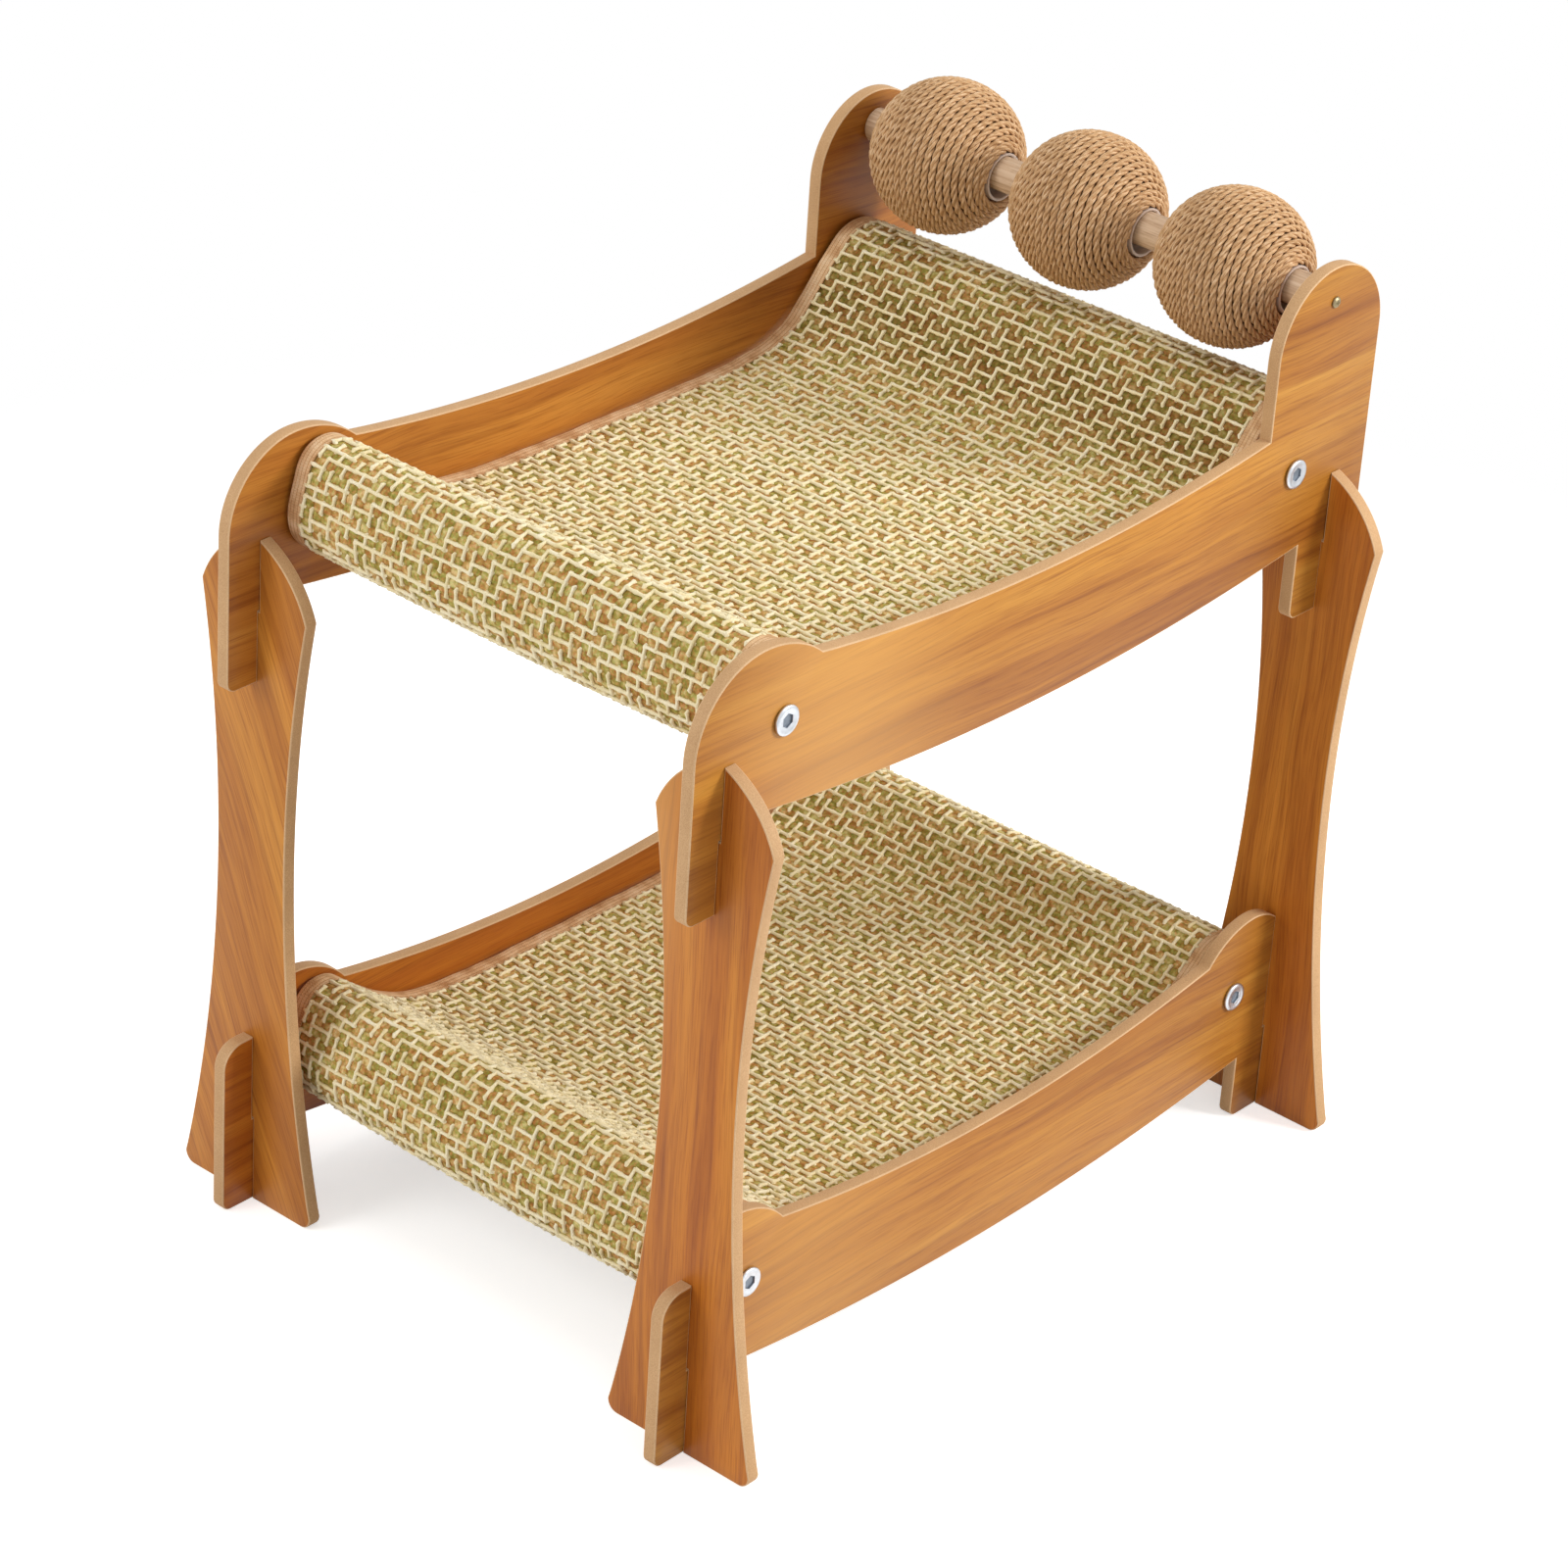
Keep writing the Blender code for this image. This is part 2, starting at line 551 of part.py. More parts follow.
def rope_curve(points):
    """The rope as a six-sided tube with closed ends."""
    data = bpy.data.curves.new("ball_rope", "CURVE")
    data.dimensions = "3D"
    data.bevel_depth = ROPE_RADIUS
    data.bevel_resolution = 1
    data.use_fill_caps = True
    data.resolution_u = 1
    data.render_resolution_u = 0
    spline = data.splines.new("POLY")
    spline.points.add(len(points) - 1)
    for target, point in zip(spline.points, points):
        target.co = (*point, 1.0)
    return data


def make_toy(wood, steel, core_finish, rope_finish, liner_finish):
    """A screwed dowel between the ears with three rope balls that turn and slide on it."""
    half = HALF_INNER - CLEAR
    pilot = bore_radius(SCREW_DIAMETER / 2, 18)
    radius = DOWEL_DIAMETER / 2
    blind = half - DOWEL_PILOT_DEPTH
    profile = [(-blind, 0), (-blind, pilot), (-half, pilot), (-half, radius)]
    profile += [(-x, r) for x, r in reversed(profile)]
    dowel = turned_mesh("toy_dowel", profile, 18, closed=False)
    add_object("toy_dowel", dowel, wood, (0, EAR_Y, DOWEL_Z))
    shank = SCREW_DIAMETER / 2
    rim = SCREW_HEAD_DIAMETER / 2
    tall = SCREW_HEAD_HEIGHT
    profile = [(-SCREW_LENGTH, 0), (-SCREW_LENGTH + 0.003, shank), (0, shank), (0, rim)]
    profile += [(tall * 0.4, rim * 0.97), (tall * 0.8, rim * 0.7), (tall, 0)]
    screw = turned_mesh("dowel_screw", profile, 10, closed=False)
    for side, sign in (("left", -1), ("right", 1)):
        place = (sign * (OUTER_X + CLEAR), EAR_Y, DOWEL_Z)
        made = add_object(f"dowel_screw_{side}", screw, steel, place)
        made.rotation_euler = (0, 0, 0 if sign > 0 else math.pi)

    bore = LINER_BORE / 2
    end = LINER_LENGTH / 2
    profile = [(-end, bore), (-end, LINER_RADIUS), (end, LINER_RADIUS), (end, bore)]
    liner = turned_mesh("ball_liner", profile, 18, closed=True)
    flat = math.cos(math.pi / ROPE_POINTS_PER_TURN)
    core_radius = ROPE_ROW_RADIUS * flat - ROPE_RADIUS - CLEAR
    core_bore = bore_radius(LINER_RADIUS, 16)
    mouth = math.degrees(math.asin(core_bore / core_radius))
    curve = arc((0, 0), core_radius, mouth, 180 - mouth, 9)
    core = turned_mesh("ball_core", curve, 16, closed=True)
    path = rope_path()
    print(f"least gap of a rope winding to itself: {least_gap(path, ROPE_DIAMETER) * 1000:.2f} mm")
    rope = rope_curve(path)
    for number in range(1, BALL_COUNT + 1):
        x = BALL_ROW_SHIFT + (number - (BALL_COUNT + 1) / 2) * BALL_PITCH
        hub = bpy.data.objects.new(f"ball_axis_{number}", None)
        hub.location = (x, EAR_Y, DOWEL_Z - BALL_DROP)
        bpy.context.scene.collection.objects.link(hub)
        add_object(f"ball_liner_{number}", liner, liner_finish, parent=hub)
        add_object(f"ball_core_{number}", core, core_finish, parent=hub)
        add_object(f"ball_rope_{number}", rope, rope_finish, parent=hub)


clear_scene()
board_wood = material("board_wood", (0.55, 0.27, 0.09), 0.45)
dowel_wood = material("dowel_wood", (0.68, 0.52, 0.34), 0.55)
plated_steel = material("plated_steel", (0.72, 0.73, 0.75), 0.25, 1.0)
tube_plastic = material("tube_plastic", (0.80, 0.80, 0.78), 0.45)
plug_plastic = material("plug_plastic", (0.10, 0.10, 0.10), 0.50)
woven_mat = material("woven_mat", (0.56, 0.52, 0.28), 0.70)
binding_tape = material("binding_tape", (0.62, 0.42, 0.29), 0.85)
core_foam = material("core_foam", (0.45, 0.33, 0.20), 0.80)
sisal_rope = material("sisal_rope", (0.55, 0.38, 0.20), 0.85)
liner_plastic = material("liner_plastic", (0.75, 0.75, 0.76), 0.40)

make_boards(board_wood)
make_cross_tubes(tube_plastic, plug_plastic, plated_steel)
make_mats(woven_mat, binding_tape)
make_toy(dowel_wood, plated_steel, core_foam, sisal_rope, liner_plastic)
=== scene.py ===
"""Two-storey cat bed of slotted boards, slung mats and rope balls, finished for the eye.

Metres, +Z up, front towards -Y, left towards -X. The origin is on the floor under the bed.
"""
import math

import bpy
import numpy as np
from mathutils import Matrix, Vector
from mathutils.geometry import delaunay_2d_cdt


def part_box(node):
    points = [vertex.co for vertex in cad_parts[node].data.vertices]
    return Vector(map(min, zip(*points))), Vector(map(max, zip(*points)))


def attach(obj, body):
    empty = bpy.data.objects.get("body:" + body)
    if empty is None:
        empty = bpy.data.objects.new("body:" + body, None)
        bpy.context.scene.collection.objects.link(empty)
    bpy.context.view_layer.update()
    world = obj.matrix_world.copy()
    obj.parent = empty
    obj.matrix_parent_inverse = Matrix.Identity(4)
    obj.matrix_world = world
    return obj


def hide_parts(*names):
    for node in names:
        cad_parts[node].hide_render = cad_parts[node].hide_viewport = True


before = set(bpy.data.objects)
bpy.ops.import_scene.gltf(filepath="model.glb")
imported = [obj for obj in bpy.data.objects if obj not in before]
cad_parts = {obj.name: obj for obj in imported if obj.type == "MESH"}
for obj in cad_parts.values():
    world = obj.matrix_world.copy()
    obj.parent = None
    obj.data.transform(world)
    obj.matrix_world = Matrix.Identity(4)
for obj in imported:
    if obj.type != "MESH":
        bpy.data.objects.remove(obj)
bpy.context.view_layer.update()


# Camera: a 120 mm lens 3 m away, above the front right corner and turned
# a little out of level, as the photograph was taken.
azimuth, elevation, lean = (math.radians(a) for a in (39.838, 29.093, 3.886))
back = np.array([math.sin(azimuth) * math.cos(elevation),
                 -math.cos(azimuth) * math.cos(elevation), math.sin(elevation)])
level = np.array([math.cos(azimuth), math.sin(azimuth), 0.0])
plumb = np.cross(back, level)
right = math.cos(lean) * level + math.sin(lean) * plumb
upright = math.cos(lean) * plumb - math.sin(lean) * level
focal_pixels, frame_pixels, sensor_mm = 5334.36, 1600, 36.0
camera_data = bpy.data.cameras.new("camera")
camera_data.sensor_width = sensor_mm
camera_data.lens = focal_pixels / frame_pixels * sensor_mm
camera_data.clip_end = 50.0
camera = bpy.data.objects.new("camera", camera_data)
stand = (1.6149, -1.9402, 1.6414)


def posed(axes, place):
    """The pose whose columns are three axes square to one another, at a place."""
    return Matrix([[*row, at] for row, at in zip(np.stack(axes, axis=1), place)] + [[0, 0, 0, 1]])


camera.matrix_world = posed([right, upright, back], stand)
bpy.context.scene.collection.objects.link(camera)
bpy.context.scene.camera = camera


# Studio: a pale floor, a white surround, a wide lamp over the right shoulder,
# two weaker ones from the left and the front, and a soft top light.
def srgb(red, green, blue):
    """A colour written as 0 to 255 on a screen, as the linear light that the shaders take."""
    part = np.array([red, green, blue]) / 255.0
    light = np.where(part <= 0.04045, part / 12.92, ((part + 0.055) / 1.055) ** 2.4)
    return (*light.tolist(), 1.0)


def node(tree, kind, inputs=(), **options):
    """One shader node with its options set and each input linked or given its value."""
    made = tree.nodes.new("ShaderNode" + kind)
    for key, value in options.items():
        setattr(made, key, value)
    for key, value in dict(inputs).items():
        if isinstance(value, bpy.types.NodeSocket):
            tree.links.new(value, made.inputs[key])
        else:
            made.inputs[key].default_value = value
    return made


def maths(tree, operation, *values):
    """The result of one Math node."""
    return node(tree, "Math", enumerate(values), operation=operation).outputs[0]


def seen_directly(tree):
    """One for rays from the camera, off metal or through glass, and nought for the rest."""
    path = node(tree, "LightPath").outputs
    both = maths(tree, "MAXIMUM", path["Is Camera Ray"], path["Is Glossy Ray"])
    return maths(tree, "MAXIMUM", both, path["Is Transmission Ray"])


sky_light = 0.51
floor_half, floor_glow = 9.0, 0.58
solid_reach, clear_reach = 0.55, 1.10
world = bpy.data.worlds.new("studio")
world.use_nodes = True
bpy.context.scene.world = world
sky = world.node_tree
sky.nodes.clear()
glow = maths(sky, "MULTIPLY_ADD", seen_directly(sky), 1.0 - sky_light, sky_light)
backdrop = node(sky, "Background", {"Color": (1.0, 1.0, 1.0, 1.0), "Strength": glow})
node(sky, "OutputWorld", {"Surface": backdrop.outputs[0]})

floor_finish = bpy.data.materials.new("studio_floor")
floor_finish.use_nodes = True
tree = floor_finish.node_tree
paper = tree.nodes["Principled BSDF"]
grain = node(tree, "TexNoise", {"Scale": 3.0, "Detail": 2.0})
paper.inputs["Base Color"].default_value = (0.86, 0.86, 0.86, 1.0)
paper.inputs["Specular IOR Level"].default_value = 0.0
paper.inputs["Emission Color"].default_value = (1.0, 1.0, 1.0, 1.0)
tree.links.new(maths(tree, "MULTIPLY", seen_directly(tree), floor_glow), paper.inputs["Emission Strength"])
tree.links.new(maths(tree, "MULTIPLY_ADD", grain.outputs["Fac"], 0.04, 0.93), paper.inputs["Roughness"])
flat_place = node(tree, "VectorMath", {0: node(tree, "TexCoord").outputs["Object"], 1: (1.0, 1.0, 0.0)},
                  operation="MULTIPLY")
from_middle = node(tree, "VectorMath", {0: flat_place.outputs[0]}, operation="LENGTH").outputs["Value"]
fade = node(tree, "MapRange", {0: from_middle, 1: solid_reach, 2: clear_reach},
            interpolation_type="SMOOTHSTEP").outputs[0]
fade = maths(tree, "MAXIMUM", fade, node(tree, "NewGeometry").outputs["Backfacing"])
clear = node(tree, "BsdfTransparent").outputs[0]
fade = maths(tree, "MULTIPLY", fade, seen_directly(tree))
faded = node(tree, "MixShader", {0: fade, 1: paper.outputs[0], 2: clear})
tree.links.new(faded.outputs[0], tree.nodes["Material Output"].inputs["Surface"])
floor_mesh = bpy.data.meshes.new("studio_floor")
floor_corners = [(x * floor_half, y * floor_half, 0) for x, y in ((-1, -1), (1, -1), (1, 1), (-1, 1))]
floor_mesh.from_pydata(floor_corners, [], [(0, 1, 2, 3)])
floor_mesh.materials.append(floor_finish)
floor = bpy.data.objects.new("studio_floor", floor_mesh)
bpy.context.scene.collection.objects.link(floor)

for name, place, aim, width, watts in (
        ("lamp_right", (2.15, 1.35, 1.60), (0, 0, 0.30), 0.8, 57.0),
        ("lamp_left", (-1.2, -2.3, 2.0), (0, 0, 0.25), 1.4, 22.0),
        ("lamp_front", (-0.9, -2.5, 0.95), (0, 0, 0.15), 1.2, 8.0),
        ("lamp_top", (0.1, 0.1, 2.7), (0, 0, 0.3), 2.0, 13.0)):
    lamp_data = bpy.data.lights.new(name, "AREA")
    lamp_data.shape = "SQUARE"
    lamp_data.size = width
    lamp_data.energy = watts
    lamp = bpy.data.objects.new(name, lamp_data)
    beam = np.subtract(place, aim) / np.linalg.norm(np.subtract(place, aim))
    side = np.cross((0.0, 1.0, 0.1), beam)
    side = side / np.linalg.norm(side)
    lamp.matrix_world = posed([side, np.cross(beam, side), beam], place)
    bpy.context.scene.collection.objects.link(lamp)


# Side panels of the upper storey: 8 mm board with a printed wood laminate on both
# faces, sawn to a lobed front, a hollow top edge and a tall ear that carries the dowel.
# Two tabs hang outside and inside each leg, and the slot between them laps over it.
both_sides = (("left", -1), ("right", 1))
board = 0.008
panel_end = 0.274
panel_x = 0.164
leg_y = 0.248
slot_half = 0.0043
axis_y = 0.2085
upper_z = 0.422
ease = 0.0007
tab_width, tab_drop, tab_corner = 0.024, 0.0945, 0.006
inner_tab_y = leg_y - board / 2 - tab_width
lap_play = 0.0003
belly_drop, belly_bow = 0.048, 0.0150
ear_radius, ear_rise = 0.0455, 0.0205
lobe_radius, lobe_rise = 0.049, 0.0445
crown_radius, crown_run = 0.065, 0.0425
hollow_rise, hollow_dip = 0.0265, 0.013
bolt_hole, pilot_hole = 0.0031, 0.0018


def arc(centre, radius, start, end, steps):
    """Even points round a circle from one angle to another, in degrees."""
    turn = np.radians(np.linspace(start, end, steps + 1))
    return np.stack([centre[0] + radius * np.cos(turn), centre[1] + radius * np.sin(turn)], axis=1)


def bulged(start, end, bulge, steps):
    """A circular arc between two points, its middle off the chord to the left by the bulge."""
    start, end = np.array(start, float), np.array(end, float)
    chord = end - start
    length = np.hypot(*chord)
    left = np.array([-chord[1], chord[0]]) / length
    radius = (length ** 2 / 4 + bulge ** 2) / (2 * abs(bulge))
    centre = (start + end) / 2 + left * (bulge - math.copysign(radius, bulge))
    first = math.degrees(math.atan2(*(start - centre)[::-1]))
    sweep = -math.copysign(2 * math.degrees(math.asin(length / (2 * radius))), bulge)
    return arc(centre, radius, first, first + sweep, steps)


def mirrored(points):
    """The same points on the other side of zero, in the opposite order."""
    return np.asarray(points)[::-1] * (-1, 1)


def grid_faces(rows, columns, around, offset=0):
    """Corner numbers of the quads of a grid of rows, joined up along each row when around."""
    row, column = np.meshgrid(np.arange(rows - 1), np.arange(columns - (not around)), indexing="ij")
    across = (column + 1) % columns
    quads = np.stack([row * columns + column, row * columns + across,
                      (row + 1) * columns + across, (row + 1) * columns + column], axis=-1)
    return quads.reshape(-1, 4) + offset


def piece(name, points, faces, finish):
    """Put a worked-out surface into the scene as one piece with one finish."""
    data = bpy.data.meshes.new(name)
    data.from_pydata(points.reshape(-1, 3).tolist(), [], [list(face) for face in faces])
    data.materials.append(finish)
    data.polygons.foreach_set("use_smooth", np.full(len(data.polygons), True))
    made = bpy.data.objects.new(name, data)
    bpy.context.scene.collection.objects.link(made)
    return made


def sawn_board(name, outline, holes, normal, place, faces_finish, edge_finish, rim_and_highlight_finish):
    """A board: its outline and holes carried through the thickness.

    Ring j of an outline is the outline moved inwards along its mitres by the
    easing times one minus the cosine of a turn, at the depth given by the sine
    of that turn; the two faces are the flat fill of the first and last rings.
    Its slots are the print, the sawn edge and the eased rim; the rim's paler tan is partly the
    raw edge's own colour and partly a painted highlight.
    """
    turn = np.radians([90, 60, 30, 0])
    inset = ease * (1 - np.cos(turn))
    inset = np.concatenate([inset, inset[::-1]])
    depth = board / 2 - ease + ease * np.sin(turn)
    depth = np.concatenate([depth, -depth[::-1]])
    rings, quads, fronts, backs, start = [], [], [], [], 0
    for loop in (outline, *holes):
        loop = np.asarray(loop)
        along = np.roll(loop, -1, axis=0) - loop
        along /= np.linalg.norm(along, axis=1)[:, None]
        left = np.stack([-along[:, 1], along[:, 0]], axis=1)
        before = np.roll(left, 1, axis=0)
        mitre = (left + before) / (1 + (left * before).sum(axis=1))[:, None]
        flat = loop[None] + inset[:, None, None] * mitre[None]
        solid = np.concatenate([flat, np.broadcast_to(depth[:, None, None], flat.shape[:2] + (1,))], axis=2)
        rings.append(solid.reshape(-1, 3))
        quads.append(grid_faces(len(inset), len(loop), True, start))
        fronts.append(np.arange(len(loop)) + start)
        backs.append(np.arange(len(loop)) + start + (len(inset) - 1) * len(loop))
        start += len(inset) * len(loop)
    solid = np.concatenate(rings)
    border = np.concatenate(fronts)
    flat = solid[border, :2]
    edges, count = [], 0
    for ring in fronts:
        step = np.arange(len(ring))
        edges.append(np.stack([step, (step + 1) % len(ring)], axis=1) + count)
        count += len(ring)
    filled = delaunay_2d_cdt(flat.tolist(), np.concatenate(edges).tolist(), [], 2, 1e-9)
    fill = np.array([face for face in filled[2] if len(face) == 3])
    fill = np.array([origin[0] for origin in filled[3]])[fill]
    corners = np.cross(*(flat[fill][:, k] - flat[fill][:, 0] for k in (1, 2)))
    fill = np.where((corners > 0)[:, None], fill, fill[:, ::-1])
    opposite = np.concatenate(backs)
    faces = np.concatenate(quads)[:, ::-1].tolist() + border[fill].tolist() + opposite[fill][:, ::-1].tolist()
    order = {"X": (2, 0, 1), "Y": (0, 2, 1)}[normal]
    placed = solid[:, order] + place
    if normal == "Y":
        faces = [face[::-1] for face in faces]
    made = piece(f"{name}_board", placed, faces, faces_finish)
    made.data.materials.append(edge_finish)
    made.data.materials.append(rim_and_highlight_finish)
    # The eased bands take the rim finish: partly the raw edge, partly a painted highlight.
    bands = np.concatenate([np.repeat([2, 2, 2, 1, 2, 2, 2], len(ring)) for ring in fronts])
    finishes = np.concatenate([bands, np.zeros(len(faces) - len(bands))]).astype(np.int32)
    made.data.polygons.foreach_set("use_smooth", finishes > 0)
    made.data.polygons.foreach_set("material_index", finishes)
    made.data.set_sharp_from_angle(angle=math.radians(40))
    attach(made, "frame")
    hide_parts(name)
    return made


def new_finish(name, rough, **sockets):
    """A new material and its node tree, with the even values set on its shader's own sockets."""
    made = bpy.data.materials.new(name)
    made.use_nodes = True
    shader = made.node_tree.nodes["Principled BSDF"]
    shader.inputs["Roughness"].default_value = rough
    for key, value in sockets.items():
        shader.inputs[key.replace("_", " ")].default_value = value
    return made, made.node_tree


def dressed(made, colour, height, strength, depth, rough=None):
    """The material with its colour, its relief and, where it varies, its roughness linked in."""
    tree = made.node_tree
    sockets = tree.nodes["Principled BSDF"].inputs
    relief = node(tree, "Bump", {"Strength": strength, "Distance": depth, "Height": height})
    tree.links.new(colour, sockets["Base Color"])
    tree.links.new(relief.outputs[0], sockets["Normal"])
    if rough is not None:
        tree.links.new(rough, sockets["Roughness"])
    return made


def ramp(tree, factor, *stops):
    """A colour ramp's result; each stop is its place and its colour."""
    made = node(tree, "ValToRGB", {"Fac": factor})
    band = made.color_ramp
    while len(band.elements) < len(stops):
        band.elements.new(0.5)
    for element, (place, colour) in zip(band.elements, stops):
        element.position = place
        element.color = colour
    return made.outputs[0]


def stretched_noise(tree, vector, scale, detail, rough=0.55):
    """Noise whose grain is scaled apart along each direction of the vector."""
    grown = node(tree, "Mapping", {"Vector": vector, "Scale": scale})
    return node(tree, "TexNoise", {"Vector": grown.outputs[0], "Scale": 1.0, "Detail": detail,
                                   "Roughness": rough}).outputs["Fac"]


def mixed(tree, factor, one, two, blend="MIX"):
    """Two colours put together by a factor."""
    made = node(tree, "MixRGB", {"Fac": factor, "Color1": one, "Color2": two}, blend_type=blend)
    return made.outputs[0]


def toned(tree, amount, colour, tone):
    """A colour multiplied by a tone, as far as the amount says."""
    return mixed(tree, amount, colour, tone, "MULTIPLY")


def patch(tree, centre, reach, amount=1.0):
    """The amount at a centre on the piece, easing to nought on an ellipsoid of three reaches."""
    away = node(tree, "TexCoord").outputs["Object"]
    for operation, by in (("SUBTRACT", centre), ("DIVIDE", reach)):
        away = node(tree, "VectorMath", {0: away, 1: by}, operation=operation).outputs[0]
    away = node(tree, "VectorMath", {0: away}, operation="LENGTH").outputs["Value"]
    return node(tree, "MapRange", {0: away, 1: 1.0, 2: 0.0, 4: amount},
                interpolation_type="SMOOTHSTEP").outputs[0]


def laminate(name, order, turn, shift, tint, painted_light):
    """Printed wood grain: slow bands, narrow streaks and short pores drawn out along the grain.
    A patch of painted light is its centre, its reaches and its amount; with it, such a board
    also darkens towards its rear end, where the upper panels have their ear, by painted shade."""
    made, tree = new_finish(name, 0.42, Specular_IOR_Level=0.3)
    place = node(tree, "SeparateXYZ", {"Vector": node(tree, "TexCoord").outputs["Object"]}).outputs
    ordered = node(tree, "CombineXYZ", {k: place[axis] for k, axis in enumerate(order)})
    turned = node(tree, "Mapping", {"Vector": ordered.outputs[0], "Rotation": (0, 0, math.radians(turn)),
                                    "Location": shift}).outputs[0]
    drift = stretched_noise(tree, turned, (3.0, 9.0, 40.0), 2.0)
    bend = node(tree, "CombineXYZ", {1: maths(tree, "MULTIPLY", drift, 0.030)}).outputs[0]
    grain = node(tree, "VectorMath", {0: turned, 1: bend}, operation="ADD").outputs[0]
    broad = stretched_noise(tree, grain, (3.0, 13.0, 20.0), 1.0)
    bands = stretched_noise(tree, grain, (1.8, 46.0, 45.0), 3.0)
    streaks = stretched_noise(tree, grain, (5.0, 230.0, 60.0), 3.0, 0.65)
    pores = stretched_noise(tree, grain, (38.0, 1300.0, 200.0), 2.0)
    colour = ramp(tree, bands, (0.28, srgb(152, 91, 32)), (0.44, srgb(177, 115, 45)),
                  (0.58, srgb(190, 130, 55)), (0.72, srgb(206, 150, 72)))
    cast = ramp(tree, broad, (0.32, (0.82, 0.75, 0.62, 1)), (0.52, (1, 1, 1, 1)),
                (0.70, (1.12, 1.13, 1.08, 1)))
    line = ramp(tree, streaks, (0.30, (0.66, 0.54, 0.42, 1)), (0.45, (0.92, 0.88, 0.84, 1)),
                (0.62, (1.04, 1.04, 1.04, 1)))
    fleck = ramp(tree, pores, (0.34, (0.76, 0.67, 0.57, 1)), (0.50, (1, 1, 1, 1)))
    for amount, tone in ((0.7, cast), (0.85, line), (0.8, fleck), (1.0, (*tint, 1.0))):
        colour = toned(tree, amount, colour, tone)
    if painted_light:
        # Painted light: the print turns lighter in the patch.
        colour = mixed(tree, patch(tree, *painted_light), colour, srgb(228, 170, 94))
        # Painted shade: the print darkens towards the rear end of the board.
        painted_rear_shade = node(tree, "MapRange", {0: place["Y"], 1: 0.12, 2: 0.26, 4: 0.5}).outputs[0]
        colour = toned(tree, painted_rear_shade, colour, (0.62, 0.58, 0.56, 1))
    rough = maths(tree, "MULTIPLY_ADD", streaks, 0.16, 0.34)
    return dressed(made, colour, streaks, 0.12, 0.0004, rough)


def sawn_edge(name, low, mid, high):
    """The cut edge of the board: fine pressed fibres, with slow clouds of a darker tone."""
    made, tree = new_finish(name, 0.62, Specular_IOR_Level=0.25)
    place = node(tree, "TexCoord").outputs["Object"]
    fibres = stretched_noise(tree, place, (1700.0, 1700.0, 1700.0), 2.0)
    cloud = stretched_noise(tree, place, (35.0, 35.0, 35.0), 2.0)
    colour = ramp(tree, fibres, (0.30, low), (0.52, mid), (0.75, high))
    cast = ramp(tree, cloud, (0.35, (0.90, 0.88, 0.86, 1)), (0.65, (1, 1, 1, 1)))
    return dressed(made, toned(tree, 0.8, colour, cast), fibres, 0.15, 0.0002)


def underside(storey_z, foot_z, *slot):
    """Lower edge of a side panel: a tab or foot with round corners at each end, cut by a slot
    if there is one, and the belly bowed between their inner edges."""
    tabs = np.concatenate([
        arc((-panel_end + tab_corner, foot_z + tab_corner), tab_corner, 180, 270, 12), *slot,
        arc((-inner_tab_y - tab_corner, foot_z + tab_corner), tab_corner, 270, 360, 12)])
    belly_z = storey_z - belly_drop
    belly = bulged((-inner_tab_y, belly_z), (inner_tab_y, belly_z), -belly_bow, 72)
    return np.concatenate([tabs, belly, mirrored(tabs)])


upper_tab_z = upper_z - tab_drop
leg_top = upper_z - 0.011
upper_lap_z = (upper_tab_z + leg_top) / 2
ear_y = panel_end - ear_radius
dowel_z = upper_z + 0.096
slot_z = upper_lap_z + lap_play
slot = [(-leg_y - slot_half, upper_tab_z), (-leg_y - slot_half, slot_z),
        (-leg_y + slot_half, slot_z), (-leg_y + slot_half, upper_tab_z)]
ear = arc((ear_y, dowel_z + ear_rise - ear_radius), ear_radius, 0, 180, 64)
lobe_y = -panel_end + lobe_radius
lobe_top = upper_z + lobe_rise
dip = math.degrees(math.acos(crown_run / crown_radius))
lobe = np.concatenate([arc((lobe_y, lobe_top - crown_radius), crown_radius, dip, 90, 24),
                       arc((lobe_y, lobe_top - lobe_radius), lobe_radius, 90, 180, 32)[1:]])
hollow = bulged((ear_y - ear_radius, upper_z + hollow_rise), lobe[0], hollow_dip, 60)
upper_outline = np.concatenate([underside(upper_z, upper_tab_z, slot), ear, hollow[:-1], lobe])
bolt_holes = [arc((y, upper_z), bolt_hole, 360, 0, 24)[:-1] for y in (-axis_y, axis_y)]
screw_hole = arc((ear_y, dowel_z), pilot_hole, 360, 0, 20)[:-1]
edge_tan = sawn_edge("sawn_edge", srgb(188, 146, 102), srgb(202, 161, 116), srgb(213, 175, 131))
# Partly the raw edge's paler tan, partly a painted highlight on the eased rim.
rim_and_highlight = sawn_edge("sawn_rim_and_highlight", srgb(208, 169, 124), srgb(217, 180, 137), srgb(225, 191, 150))
endless = 9.0
# Painted light on the right boards, lighter towards their front end.
painted_light_end = ((0.0, -0.165, 0.0), (endless, 0.13, endless))
for name, side in both_sides:
    tint = (0.99, 0.90, 0.72) if side < 0 else (1.0, 0.98, 0.72)
    painted_light = (*painted_light_end, 0.24 * (side + 1))
    grain_print = laminate(f"laminate_upper_{name}", "YZX", 0.0, (0.4 * side, 0.07, 0.0), tint, painted_light)
    sawn_board(f"upper_panel_{name}", upper_outline, [*bolt_holes, screw_hole], "X",
               (side * panel_x, 0, 0), grain_print, edge_tan, rim_and_highlight)


